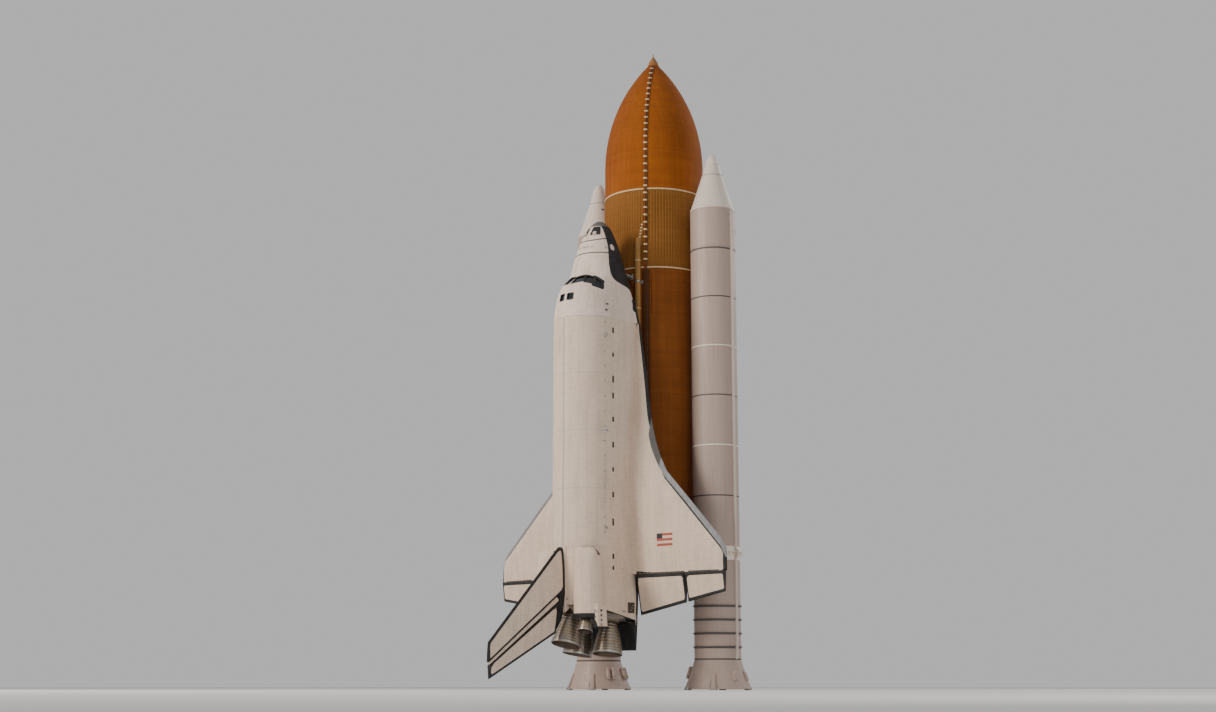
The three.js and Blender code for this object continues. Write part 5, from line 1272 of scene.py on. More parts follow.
def fuselage_black(x, y, z):
    """Belly and chin round a pale patch, the forward thrusters' field and the surrounds of the windows."""
    angle = surface_angle(x, y, z)
    chin = CHIN_LINE(x) - z
    glove = np.minimum.reduce([np.abs(y) - (93.4 + (x - 505) * 0.2457), 292 - z, x - 530])
    patch = 9 * (np.hypot((x - 339) / 11, (z - 351) / 9) - 1)
    field = 12 * (1 - np.maximum(np.abs(x - 280) / 16, np.abs(angle - 62) / 20))
    field_middle = 6 * (np.hypot((x - 288) / 6, (angle - 66) / 8) - 1)
    surrounds = [np.where(z > 392, quad_distance(corners, x, angle) + margin, -5)
                 for corners, margin in zip(WINDOWS, (3.0, 3.4, 6.5, 2.2))]
    body = np.minimum(np.maximum(chin, glove), patch)
    return np.maximum.reduce([body, np.minimum(field, field_middle), *surrounds])


# The forward thruster module's outline, as distances from its two seams
def module_front(x, y, z):
    return x - (316 - 0.22 * np.maximum(0, 396 - z))


def module_back(x, y, z):
    return x - 361


def surface_angle(x, y, z):
    """Degrees from the widest line, as the windows' corners are given."""
    rows = nose_rows(np.clip(x, 240, 582))
    width, widest, top, upper = rows[:, 0], rows[:, 2], rows[:, 3], rows[:, 5]
    u = np.clip(np.abs(y) / width, 0, 2) ** (upper / 2)
    v = np.clip((z - widest) / (top - widest), -2, 2)
    v = np.sign(v) * np.abs(v) ** (upper / 2)
    return np.degrees(np.arctan2(v, u))


def nose_point(x, degrees, depth=0.0):
    """A point on the nose's skin, or a depth below it."""
    width, _, widest, top, _, upper = nose_rows.at(x)
    c, s = math.cos(math.radians(degrees)), math.sin(math.radians(degrees))
    return (x, (width - depth) * abs(c) ** (2 / upper),
            widest + (top - widest - depth) * abs(s) ** (2 / upper))


# Nose cap
rows = body_rows(nose_rows, (241, 243, 245.5, 248.5, 252, 256, 259, 261.9), count=22)
rows.insert(0, [(240.1, y * 0.55, 338 + (z - 338) * 0.55) for _, y, z in rows[0]])
piece("nose_cap_shell", Shell().grid(rows), "orbiter", [CARBON], replaces=["nose_cap"],
      sharp=60)

# Forward fuselage
stations = [262, *range(265, 277, 4), *range(277, 298, 3), *range(298, 325, 6), *range(325, 356, 3),
            *range(357, 430, 9), 430, 434, *range(438, 490, 3), *range(490, 535, 4), *range(538, 582, 8),
            581.9]
rows = body_rows(nose_rows, stations)
shell = Shell().grid(rows, uv=girth_uv(rows))
fuselage = to_object("forward_fuselage_skin", shell, "orbiter", [NOSE_SKIN, INSIDE_GREY, DARK_METAL, STEEL])


def window_prism(corners, side):
    """A window's opening, a little smaller than its outline, from below the skin to above it."""
    middle = np.mean([nose_point(*c) for c in corners], 0)
    points = []
    for depth in (9, -7):
        for station, degrees in corners:
            p = np.array(nose_point(station, degrees, depth))
            q = p + (p - middle) / np.linalg.norm(p - middle) * -0.2
            points.append((q[0], side * q[1], q[2]))
    return points

def skin_step(x, degrees):
    """A point on the nose's skin and a step outwards from it."""
    p = np.array(nose_point(x, degrees, 0))
    return p, np.array(nose_point(x, degrees, -3)) - p

# The windows and the hatch are cut first, so that the cabin opens into them and is no closed hollow
HATCH_LINE = ((497, -80, 343), (497, -116, 343))
openings = Shell()
for _, side in SIDES:
    for corners in WINDOWS:
        openings.hull(window_prism(corners, side), bevel=0.9)
    openings.block((560, 600), across(side, 10, 32), (440, 466), edge=1.0)
openings.rod(*HATCH_LINE, 20, sides=64, bevel=0.01)
cut(fuselage, openings)
cut(fuselage, Shell().grid(body_rows(nose_rows, [447.5, 460, 478, 504, 545, 573.5], -4, 14), slot=1))
more = Shell()
for _, side in SIDES:
    # Glass retainer frames round each pane
    for corners in WINDOWS:
        outer = [Vector((x, side * y, z)) for x, y, z in (nose_point(*c, -0.35) for c in corners)]
        for a, b in zip(outer, outer[1:] + outer[:1]):
            more.tube([tuple(a.lerp(b, share)) for share in np.linspace(0, 1, 5)], 0.55, 8, smooth=0, slot=2)
    # Wing glove's tip
    rows = []
    for s in np.linspace(0, 1, 14):
        inner, outer = 97 + 2 * s, 97.4 + 18.9 * s
        low, high = (272 - 4 * s, 277.3 - 2.9 * s), (283 + 5 * s, 277.7 + 2.1 * s)
        shares = np.linspace(0, 1, 7)
        rows.append([(505 + 76.9 * s, side * (inner + (outer - inner) * t), root + (edge - root) * t)
                     for (root, edge), ts in ((high, shares), (low, shares[::-1])) for t in ts])
    more.grid(rows)
    # Forward thrusters in flush wells: two forward, three up and four to the side
    for x, degrees in ((290, 62), (290, 80), (340, 66), (340, 78), (340, 88), (338, 14), (350, 14), (344, 26),
                       (352, 4)):
        p, step = skin_step(x, degrees)
        out = step / np.linalg.norm(step)
        place = place_along((p[0], side * p[1], p[2]), (out[0] - 0.15, side * out[1], out[2]))
        more.lathe([(-4, 0), (-4, 3.4), (0.35, 4.0), (0.5, 3.5), (0.1, 3.1), (-2.6, 1.7), (-2.6, 0)], 28,
                   place,
                   slot=2)
    # Side vents
    for x in (540, 560):
        p, step = skin_step(x, 12)
        place = place_along((p[0], side * p[1], p[2]), (0.0, side * step[1], step[2]))
        more.block((-1.5, 0.3), (-3, 3), (-5, 5), place=place, slot=2, edge=0.25)
# Forward fitting for the bipod, and its pin
more.hull(both_sides((381, 11.5, 275.8), (397, 11.5, 275.8), (383, 11.5, 290), (395, 11.5, 290)), bevel=0.8,
          slot=2)
more.rod((389, -8, 279), (389, 8, 279), 4.2, sides=24, slot=2)
# Hinge knuckle of the hatch
HATCH_HINGE_Y, HATCH_HINGE_Z = -101.4, 320
more.rod((494.4, HATCH_HINGE_Y, HATCH_HINGE_Z), (499.6, HATCH_HINGE_Y, HATCH_HINGE_Z), 1.7, sides=20, slot=2)
lug = ((-102.6, 319.2), (-97.4, 312), (-97.4, 317), (-101.6, 318.5))
more.hull([(x, y, z) for x in (494.4, 499.6) for y, z in lug], slot=2)
add_shell(fuselage, more)
finish_piece(fuselage, "stack", ["forward_fuselage", "nose_section"],
             {"black": fuselage_black, "module_front": module_front, "module_back": module_back}, sharp=38)


def top_part(ring):
    """40 evenly spaced points along a ring's upper part."""
    row = np.array([p for p in ring[:53] if p[2] > 399])
    length = np.concatenate([[0], np.cumsum(np.linalg.norm(np.diff(row, axis=0), axis=1))])
    at = np.linspace(0, length[-1], 40)
    return np.stack([np.interp(at, length, row[:, k]) for k in range(3)], 1)

# Windshield glass: one pane behind all the windows, between two depths below the skin
outer_rows, inner_rows = [body_rows(nose_rows, np.linspace(448.4, 533, 16), -depth) for depth in (4.2, 5.4)]
shell = Shell().grid([np.concatenate([top_part(a), top_part(b)[::-1]]) for a,
                      b in zip(outer_rows, inner_rows)])
piece("windshield_glass", shell, "orbiter", [GLASS], replaces=["windshield"], sharp=60)

# Flight deck: its floor, the console with its displays, and the seats
FLOOR_TOP = 396.6

def cabin_half_width(x, z, wall):
    """Half the cabin's width at a height above its widest line."""
    width, _, widest, top, _, upper = nose_rows.at(x)
    rise = max(0, (z - widest) / (top - widest - wall)) ** upper
    return (width - wall) * (1 - rise) ** (1 / upper)

rows = []
for x in (455, 462, 470, 478, 490, 504, 525, 545, 570):
    w = min(95, cabin_half_width(x, FLOOR_TOP, 4.6))
    rows.append([(x, -w, 392.2), (x, w, 392.2), (x, w, FLOOR_TOP), (x, -w, FLOOR_TOP)])
shell = Shell().grid(rows)
shell.hull(both_sides((457, 40, 397), (457, 36, 418), (470, 42, 396.8), (466, 36, 424)), bevel=1.2)
for y in (-26, 26):
    shell.hull(both_sides((491, 10, 398), (512, 10, 398), (492, 9, 411), (511, 9, 411), middle=y), bevel=1.6,
               slot=1)
    shell.hull(both_sides((507.5, 10, 408), (514, 9, 408), (510, 8, 444), (514, 7, 444), middle=y), bevel=1.4,
               slot=1)
    shell.hull(both_sides((509, 6, 443), (514, 6, 443), (509, 5, 452), (513, 5, 452), middle=y), bevel=1.2,
               slot=1)
    for x in (461, 464):
        for k in range(3):
            shell.block((x - 4.4, x - 2.6), (y - 12 + 8 * k, y - 6 + 8 * k), (418.4, 423), slot=2)
shell.block((470, 500), (-7, 7), (396.8, 408), edge=1.2)
piece("flight_deck_fittings", shell, "orbiter", [INSIDE_GREY, DARK_METAL, GLASS], replaces=["flight_deck"])

# Crew hatch: the fuselage's own skin inside a circle, with its rim, its window and its hinge lugs
rows = body_rows(nose_rows, np.linspace(474, 520, 24), 0, 30)
hatch = to_object("crew_hatch_panel", Shell().grid(rows, uv=girth_uv(rows)), "orbiter", [SKIN, STEEL, GLASS])
cut(hatch, Shell().grid(body_rows(nose_rows, [460, 478, 504, 530], -4, 14)))
cut(hatch, Shell().rod(*HATCH_LINE, 19.4, sides=64, bevel=0.01), "INTERSECT")
more = Shell()
more.hoop([(-0.6, 17.6), (0.25, 17.6), (0.35, 18.0), (0.25, 18.4), (-0.6, 18.4)], 64,
          place_along((497, -97.6, 343), (0, -1, -0.13)), slot=1)
window = place_along((497, -97.9, 346), (0, -1, -0.1))
more.lathe([(-1.5, 0), (-1.5, 5.6), (0.7, 5.6), (0.9, 5.0), (0.5, 4.7), (0.5, 0)], 40, window, slot=1)
more.lathe([(0.2, 0), (0.2, 4.6), (0.62, 4.5), (0.66, 0)], 40, window, slot=2)
more.rod((490.5, HATCH_HINGE_Y, HATCH_HINGE_Z), (503.5, HATCH_HINGE_Y, HATCH_HINGE_Z), 0.8, sides=16, slot=1)
lug = ((-102.7, 320), (-102, 321.6), (-100.8, 319.1), (-97.8, 327.5), (-97.8, 330.5))
for sign in (-1, 1):
    ends = sorted((497 + sign * 3.1, 497 + sign * 6.5))
    more.hull([(x, y, z) for x in ends for y, z in lug], slot=1)
add_shell(hatch, more)
finish_piece(hatch, "crew_hatch", ["crew_hatch"],
             {"black": lambda x, y, z: CHIN_LINE(x) - z}, sharp=38)

# Mid fuselage: the trough of the payload bay. The bay and its doors are round about a line at BAY_Z.
SILL_Z = 420
BAY_Z = 400
BAY_RADIUS = 90
DOOR_RADIUS = 104
DOOR_AXIS = (105.9, 420)
DOOR_HINGES_X = (640, 942, 1244)

def bay_point(x, radius, t):
    """A point round the bay's middle line, where an angle of 0 is level to starboard."""
    return (x, radius * math.cos(t), BAY_Z + radius * math.sin(t))

def line_inside(shell, radius, top=math.inf):
    """Gives the second finish to the faces whose middle lies inside a radius and below a top."""
    for i, face in enumerate(shell.faces):
        _, y, z = np.mean([shell.points[v] for v in face], 0)
        if math.hypot(y, z - BAY_Z) < radius and z < top and len(face) == 4:
            shell.slots[i] = 1

def trough_row(x):
    side_top = math.sqrt(DOOR_RADIUS**2 - (SILL_Z - BAY_Z) ** 2)
    outer = [(x, -side_top, SILL_Z), *body_ring(x, MID_ROW, 0, 30)[60:], (x, DOOR_RADIUS, BAY_Z),
             (x, side_top, SILL_Z)]
    inner = [bay_point(x, BAY_RADIUS, t) for t in np.radians(np.linspace(0, -180, 41))]
    return [*outer, (x, BAY_RADIUS, SILL_Z), *inner, (x, -BAY_RADIUS, SILL_Z)]

rows = [trough_row(x) for x in np.linspace(CABIN_END_X + 0.05, BAY_END_X - 0.05, 61)]
shell = Shell().grid(rows, uv=girth_uv(rows))
line_inside(shell, BAY_RADIUS + 2, SILL_Z - 0.1)
# Frames across the bay
section = ((-1.4, 90.5), (-1.4, 85.6), (1.4, 85.6), (1.4, 90.5))
for x in np.linspace(640, 1250, 12):
    shell.grid([[bay_point(x + dx, r, t) for dx, r in section]
                for t in np.radians(np.linspace(-8, -172, 33))], slot=2)
lug = ((1.2, 419.2), (-3.5, 411), (-3.5, 416), (0.2, 418.5))
for side in (-1, 1):
    # Sill longerons, ledges, latches and the doors' hinges
    shell.block((584, 1300), across(side, 90.5, 100.5), (417, 420.3), slot=2, edge=0.4)
    shell.block((586, 1298), across(side, 84, 90.5), (404, 408), slot=2, edge=0.8)
    for x in (700, 820, 1060, 1180):
        shell.block((x - 5, x + 5), across(side, 83.5, 88), (409, 417), slot=3, edge=1.0)
    y, z = side * DOOR_AXIS[0], DOOR_AXIS[1]
    for x in DOOR_HINGES_X:
        shell.rod((x - 2.6, y, z), (x + 2.6, y, z), 1.7, sides=20, slot=3)
        shell.hull([(x + dx, y + side * dy, high) for dx in (-2.6, 2.6) for dy, high in lug], slot=3)
    # Vent doors along the side
    for x, half in ((622, 9), (700, 7), (778, 11), (830, 9), (905, 8), (985, 9), (1062, 7), (1140, 9),
                    (1225, 11)):
        shell.block((x - half, x + half), across(side, 103.2, 104.45), (385, 392.5), slot=4, edge=0.35)
piece("mid_fuselage_skin", shell, "orbiter", [SKIN, BAY_LINER, INSIDE_GREY, STEEL, BLACK_TILES],
      replaces=["mid_fuselage"],
      zones={"black": lambda x, y, z: 277 - z}, sharp=38)

# Payload bay doors
DOOR_INNER_RADIUS = 95
DOOR_LOW = 20.5
DOOR_SEAM = 0.3
low = math.asin(DOOR_LOW / DOOR_RADIUS)
outside = np.linspace(low, math.acos(DOOR_SEAM / DOOR_RADIUS), 26)
inside = np.linspace(math.acos(DOOR_SEAM / DOOR_INNER_RADIUS), math.asin(DOOR_LOW / DOOR_INNER_RADIUS), 26)
joint = ((-0.9, 103.6), (-0.7, 104.35), (0.7, 104.35), (0.9, 103.6))
ridge = ((0.35, 503.4), (0.35, 504.4), (3.2, 504.35), (3.6, 503.3))
lug = ((1.3, 0), (0.6, 1.6), (-0.6, -0.9), (-5, 4.5), (-5, 7.5))
for name, side in SIDES:
    rows = [[bay_point(x, DOOR_RADIUS, t) for t in outside] + [bay_point(x, DOOR_INNER_RADIUS, t)
                                                               for t in inside]
            for x in np.linspace(582.5, 1301.5, 73)]
    shell = Shell().grid(rows, uv=girth_uv(rows))
    line_inside(shell, DOOR_INNER_RADIUS + 2)
    # Panel joints across the door, and the seal strip along the ridge
    for x in (762, 942, 1122):
        shell.grid([[bay_point(x + dx, r, t) for dx, r in joint] for t in np.linspace(low + 0.02, 1.55, 30)],
                   slot=4)
    shell.grid([[(x, y, z) for y, z in ridge] for x in np.linspace(584, 1300, 20)], slot=4)
    # Radiator panels inside, with their tube lines
    for x0, x1 in ((590, 760), (766, 938), (946, 1118)):
        panel = ((x0, 94.6), (x1, 94.6), (x1, 92.4), (x0, 92.4))
        shell.grid([[bay_point(x, r, t) for x, r in panel] for t in np.linspace(0.30, 1.48, 22)], slot=2)
        for t in np.linspace(0.36, 1.42, 9):
            shell.tube([bay_point(x0 + 4, 92.4, t), bay_point(x1 - 4, 92.4, t)], 0.5, 8, smooth=0, slot=3)
    # Hinge lugs and latches
    y, z = DOOR_AXIS
    for x in DOOR_HINGES_X:
        shell.rod((x - 6.5, y, z), (x + 6.5, y, z), 0.8, sides=14, slot=3)
        for sign in (-1, 1):
            ends = sorted((x + sign * 3.1, x + sign * 6.5))
            shell.hull([(at, y + dy, z + dz) for at in ends for dy, dz in lug], slot=3)
    for x in np.arange(600, 1300, 47):
        shell.block((x - 2.4, x + 2.4), (101.6, 103.4), (423.5, 426.8), slot=3, edge=0.3)
    piece(f"payload_door_skin_{name}", shell.side(side), "orbiter",
          [PLAIN_WHITE, BAY_LINER, RADIATOR, STEEL, SOOT_LINE],
          body=f"payload_bay_door_{name}", replaces=[f"payload_bay_door_{name}"],
          sharp=38)

# Wings: y, leading edge station, thickness at shares of the way back to the elevon hinge
WING_SECTIONS = (
    (98, 583, 10, 17, 26, 48, 33.4), (117, 583, 9, 16, 25, 46, 32.2), (150, 791, 9, 18, 30, 44, 30.4),
    (165, 893, 9.4, 19.5, 33, 43, 29.5), (175, 935, 9.7, 20.5, 35, 42.6, 28.9),
    (187, 975, 10, 21.5, 37, 42, 28.3),
    (205, 1020, 9.8, 21.3, 36.6, 40.2, 27.3), (230, 1066, 9.4, 20.6, 35, 37.5, 25.9),
    (312, 1148, 8, 17, 28, 29, 21.4),
    (452, 1290, 5, 10, 16, 17, 13.7), (468, 1318, 2, 4, 6, 7, 7),
)
THICKNESS_AT = (0.03, 0.12, 0.35, 0.65, 1)
ELEVON_HINGE_X = 1387
CARBON_DEPTH = 13
PALE_FROM_Y = 207
ELEVONS = {"inboard": (121, 309), "outboard": (317, 464)}


def wing_low(y):
    return 268 + (y - 104) * 0.0604


def hinge_radius(y):
    return 16 - (y - 120) * 0.0276


def hinge_point(y):
    return (ELEVON_HINGE_X, y, wing_low(y) + hinge_radius(y))

def trailing_x(y):
    return 1527.4 - 0.1773 * y


def wing_column(y, k):
    """A column of WING_SECTIONS, read between its rows too."""
    return np.interp(y, [row[0] for row in WING_SECTIONS], [row[k] for row in WING_SECTIONS])

def wing_row(y):
    """A ring round the wing: from its leading edge over the top to the elevon hinge, and back below."""
    edge, *thickness = [wing_column(y, k) for k in range(1, 7)]
    low = wing_low(y)
    end = ELEVON_HINGE_X - (0.36 * hinge_radius(y) + 1)
    t0 = thickness[0]
    top = Curve(THICKNESS_AT, thickness)
    shares = [0.0008, 0.003, 0.008, 0.016, 0.03, 0.05, 0.08, 0.12, 0.17, 0.23, 0.3, 0.4, 0.5, 0.6, 0.7, 0.8,
              0.9, 1.0]
    ring = [(edge, y, low + 0.49 * t0)]
    for s in shares:
        z = 0.49 * t0 + 0.51 * t0 * math.sqrt(s / 0.03) if s < 0.03 else top.at(s)
        ring.append((edge + (end - edge) * s, y, low + z))
    for s in reversed(shares):
        if s > 0.3:
            z = 0.0
        elif s > 0.03:
            z = 0.14 * t0 * (0.3 - s) / 0.27
        else:
            z = 0.49 * t0 - 0.35 * t0 * math.sqrt(s / 0.03)
        ring.append((edge + (end - edge) * s, y, low + z))
    return ring


def edge_space(grow):
    """The space of the carbon leading edge, a little larger for the wing's own cut."""
    rows = WING_SECTIONS[3:]
    back = []
    for i, (y, edge, *_) in enumerate(rows):
        before, after = rows[max(i - 1, 0)], rows[min(i + 1, len(rows) - 1)]
        slope = (after[1] - before[1]) / (after[0] - before[0])
        back.append([edge + (CARBON_DEPTH + grow) * math.hypot(1, slope), y])
    back[0][1] -= grow
    back.append([back[-1][0] + 20, back[-1][1] + 12])
    return Shell().grid([[(800, y, 200), (x, y, 200), (x, y, 400), (800, y, 400)] for x, y in back])

def wing_black(x, y, z):
    """The underside, the glove's leading edge and the strip round the carbon edge's end."""
    a = np.abs(y)
    under = wing_low(a) + 1.2 - z
    glove_y = np.interp(x, [row[1] for row in WING_SECTIONS[1:]], [row[0] for row in WING_SECTIONS[1:]])
    glove = np.where(a < 187, a - (glove_y - 4.5 - 0.008 * (x - 583)), -50)
    carbon_strip = np.where(a >= 160, (CARBON_DEPTH + 7) * 1.25 - (x - wing_column(a, 1)), -50)
    return np.maximum.reduce([under, glove, carbon_strip, a - 461])

WING_STATIONS = [98, 104, 110, 117, *range(121, 165, 4), 165, 168, 171, 175, 179, 183, 187, 193, 199, 205,
                 212, 220,
                 230, *range(238, 312, 8), 312, 320, *range(330, 452, 10), 452, 458, 463, 466.5, 468]
for name, side in SIDES:
    rows = [wing_row(y) for y in WING_STATIONS]
    wing = to_object(f"wing_skin_{name}", Shell().grid(rows, uv=planar_uv(rows)), "orbiter",
                     [WING_SKINS[name], STEEL, BLACK_TILES])
    cut(wing, edge_space(0.08))
    cut(wing, Shell().rod(hinge_point(100), hinge_point(480), hinge_radius(100) + 0.42,
                          hinge_radius(480) + 0.42,
                          sides=48, bevel=0.01))
    if side < 0:
        mirror(wing)
    more = Shell()
    # Hinge fitting between the two elevons
    z = hinge_point(311)[2]
    more.block((1372, ELEVON_HINGE_X), (311, 315), (z - 5, z + 5), slot=1, edge=0.5)
    more.rod(hinge_point(311), hinge_point(315), 5.5, sides=28, slot=1)
    # Seal strip over the elevon hinge, in short plates
    plate_ends = np.linspace(122, 462, 24)
    for a, b in zip(plate_ends, plate_ends[1:]):
        if a < 316 < b:
            continue
        ends = []
        for y in (a + 0.4, b - 0.4):
            x = ELEVON_HINGE_X - 0.36 * hinge_radius(y) - 1.3
            top = wing_low(y) + wing_column(y, 6)
            ends += [(x - 7.5, y, top - 0.9), (x - 7.5, y, top + 0.55), (x, y, top - 0.9), (x, y, top + 0.25)]
        more.hull(ends, slot=2, bevel=0.12)
    add_shell(wing, more.side(side))
    finish_piece(wing, "stack", [f"wing_{name}"], {"black": wing_black}, sharp=32)

    rows = [wing_row(y) for y in [*np.arange(165, 240, 3), *np.arange(240, 466, 6), 468]]
    edge = to_object(f"leading_edge_panels_{name}", Shell().grid(rows), "orbiter", [CARBON, CARBON_PALE])
    cut(edge, edge_space(0), "INTERSECT")
    for polygon in edge.data.polygons:
        polygon.material_index = int(polygon.center[0] > PALE_FROM_Y * METRES)
    if side < 0:
        mirror(edge)
    finish_piece(edge, "stack", [f"leading_edge_{name}"], sharp=32)

    for which, (inner, outer) in ELEVONS.items():
        shares = (0.06, 0.2, 0.4, 0.6, 0.8, 0.94)
        rows = []
        for y in np.linspace(inner, outer, 24):
            x, _, z = hinge_point(y)
            r = hinge_radius(y)
            end = trailing_x(y)
            ring = [(x + r * math.cos(t), y, z + r * math.sin(t))
                    for t in np.radians(np.linspace(92, 268, 19))]
            ring += [(x + (end - x) * s, y, z - r + (r * 0.38) * s) for s in shares]
            ring += [(end - dx, y, z - r * down) for dx,
                     down in ((0.5, 0.62), (0, 0.57), (0, 0.45), (0.5, 0.4))]
            ring += [(x + (end - x) * s, y, z + r - (r * 1.4) * s) for s in reversed(shares)]
            rows.append(ring)
        shell = Shell().grid(rows, uv=planar_uv(rows), cap_slot=1)
        low, high = (outer - 8, 312.8) if which == "inboard" else (inner + 8, 313.3)
        shell.rod(hinge_point(low), hinge_point(high), 3, sides=24, slot=2)

        def elevon_black(x, y, z):
            """The underside, and a rim round the top."""
            a = np.abs(y)
            r = hinge_radius(a)
            end = trailing_x(a)
            share = np.clip((x - ELEVON_HINGE_X) / (end - ELEVON_HINGE_X), 0, 1)
            middle = wing_low(a) + r - 0.51 * r * share
            under = middle - 0.15 * r * (1 - 0.89 * share) - z
            rim = np.maximum.reduce([x - (end - 7.5), inner + 4.5 - a, a - (outer - 4.5),
                                     ELEVON_HINGE_X + 6.5 - x])
            return np.maximum(under, rim)

        piece(f"elevon_{which}_skin_{name}", shell.side(side), "orbiter", [SKIN, BLACK_TILES, STEEL],
              body=f"elevon_{which}_{name}", replaces=[f"elevon_{which}_{name}"],
              zones={"black": elevon_black}, sharp=32)

# Engines: where they turn, their degrees up and outwards, their scale and their roll
ENGINES = {
    "main_engine_top": ((1445, 0, 443), 16, 0, 1, 90),
    "main_engine_left": ((1468.2, -53, 342.6), 10, -3.5, 1, 0),
    "main_engine_right": ((1468.2, 53, 342.6), 10, 3.5, 1, 0),
}
MANOEUVRING = {"left": ((1486, -86, 484), 15.8, -6.5, 0.48, 0),
               "right": ((1486, 86, 484), 15.8, 6.5, 0.48, 0)}
BALL_OUTER, BALL_INNER, CAP_RADIUS = 65.3, 62.8, 61.3
OPENING, BOTTOM = 35.5, 34


def engine_place(spec):
    at, up, out, scale, roll = spec
    return (Matrix.Translation(at) @ Matrix.Rotation(math.radians(out), 4,
                                                     "Z") @ Matrix.Rotation(-math.radians(up), 4, "Y")
            @ Matrix.Rotation(math.radians(roll), 4, "X") @ Matrix.Scale(scale, 4))


def ball_arc(radius, a, b, steps):
    return [(s, math.sqrt(radius**2 - s**2)) for s in np.linspace(a, b, steps + 1)]


def bell_radius(s):
    return 45.3 * ((s - 46) / 114) ** 0.45


LIP = math.sqrt(BALL_INNER**2 - OPENING**2)

def add_dome(shell, place, slot):
    """The blanket dome round an engine's cap, with its seams and its clamped lip."""
    profile = [(30, 53)] + ball_arc(BALL_OUTER, 30, 52.6, 14) + [(53.2, 37.6), (53.2, 36.3), (LIP, OPENING)]
    shell.hoop(profile + ball_arc(BALL_INNER, LIP, BOTTOM, 10), 72, place, slot)
    for k in range(16):
        t = 2 * math.pi * (k + 0.5) / 16
        seam = [(s, r * math.cos(t), r * math.sin(t)) for s, r in ball_arc(BALL_OUTER + 0.1, 33, 52, 8)]
        shell.tube(placed(place, seam), 0.4, 8, smooth=0, slot=slot)
    for s, r in ((33, 56.6), (52.4, 38.7)):
        shell.hoop([(s - 0.8, r - 0.6), (s - 0.8, r + 0.5), (s + 0.8, r + 0.1), (s + 0.8, r - 1.0)], 72,
                   place, slot + 1)

def ball_pocket(place):
    """The hollow that an engine's ball turns in."""
    return Shell().lathe([(BOTTOM, 0)] + ball_arc(BALL_INNER, BOTTOM, LIP, 10) + [(90, 50), (90, 0)], 48,
                         place)


# Aft fuselage
rows = body_rows(aft_rows, [1302.05, 1306, 1312, *range(1322, 1532, 10), 1532])
aft = to_object("aft_fuselage_skin", Shell().grid(rows, uv=girth_uv(rows)), "orbiter",
                [SKIN, BASE_TILES, DOME_BLANKET, STEEL, BLACK_TILES, DARK_METAL])
behind_base = ((1474, 520), (1700, 520), (1530, 296), (1700, 296), (1530, 250), (1700, 250))
cut(aft, Shell().hull([(x, y, z) for y in (-150, 150) for x, z in behind_base], slot=1))
for spec in ENGINES.values():
    cut(aft, ball_pocket(engine_place(spec)))
FLAP_X, FLAP_Z, FLAP_RADIUS = 1532, 290, 10
cut(aft, Shell().rod((FLAP_X, -130, FLAP_Z), (FLAP_X, 130, FLAP_Z), FLAP_RADIUS + 0.42, sides=48, bevel=0.01))
cut(aft, Shell().block((FLAP_X - 4, FLAP_X + 60), (-130, 130), (200, FLAP_Z + FLAP_RADIUS + 3), edge=0.01))
more = Shell()
for spec in ENGINES.values():
    add_dome(more, engine_place(spec), 2)
# Saddle below the fin
more.block((1304, 1500), (-15, 15), (480, 507), edge=0.8)
for side in (-1, 1):
    # Hinge fittings of the body flap
    y0, y1 = across(side, 109, 113)
    more.block((1505, FLAP_X), (y0, y1), (FLAP_Z - 5, FLAP_Z + 5), slot=3, edge=0.6)
    more.rod((FLAP_X, y0, FLAP_Z), (FLAP_X, y1, FLAP_Z), 5, sides=28, slot=3)
    # Side vents, access doors and the umbilical plate
    for x, z, dx, dz in ((1330, 388, 8, 4), (1365, 388, 6, 4), (1345, 330, 12, 14), (1440, 330, 9, 9),
                         (1485, 344, 6, 12)):
        width = aft_rows.at(x)[0]
        more.block((x - dx, x + dx), across(side, width - 1, width + 0.45), (z - dz, z + dz),
                   slot=4 if z > 350 else 0, edge=0.3)
    more.block((1468, 1500), across(side, 111, 113.5), (300, 330), slot=5, edge=0.6)
    for x, z in ((1476, 308), (1484, 313), (1492, 318)):
        more.rod((x, side * 112, z), (x, side * 114.2, z), 2.4, sides=20, slot=3)
# Umbilical doors in the belly
for side in (-1, 1):
    more.block((1452, 1494), across(side, 42, 84), (274.2, 276.5), slot=4, edge=0.5)
# Base: heat shield seams and vent stubs between the domes
normal = Vector((224, 0, 56)).normalized()


def base_point(y, z, out):
    """A point on the sloped base, or a distance out from it."""
    return tuple(Vector((1474 + 56 * ((520 - z) / 224), y, z)) + normal * out)


for y in (-96, -72, 72, 96):
    more.tube([base_point(y, z, 0.1) for z in np.linspace(318, 470, 12)], 0.55, 8, smooth=0, slot=3)
for z in (318, 470):
    more.tube([base_point(y, z, 0.1) for y in np.linspace(-98, 98, 20)], 0.55, 8, smooth=0, slot=3)
for y, z, r in ((-92, 420, 4), (92, 420, 4), (0, 372, 5), (-96, 332, 3), (96, 332, 3), (-22, 330, 3),
                (22, 330, 3), (-60, 446, 3), (60, 446, 3)):
    more.rod(base_point(y, z, -2), base_point(y, z, 4.5), r, r * 0.85, 24, slot=5)
for y in (-100, -50, 50, 100):
    more.hull([base_point(y + dy, z, out) for dy in (-5, 5) for z,
               out in ((300, 0), (313, 0), (303, 2.2), (310, 2.2))], slot=5, bevel=0.4)
add_shell(aft, more)
AFT_CHIN = line_at(((1302, 286), (1400, 286), (1470, 290), (1540, 296)))


def aft_black(x, y, z):
    base_side = (x - 1474) * normal.x + (z - 520) * normal.z + 0.6
    return np.maximum(AFT_CHIN(x) - z, np.where(z < 500, base_side, -1))


finish_piece(aft, "stack", ["aft_fuselage"], {"black": aft_black}, sharp=35)

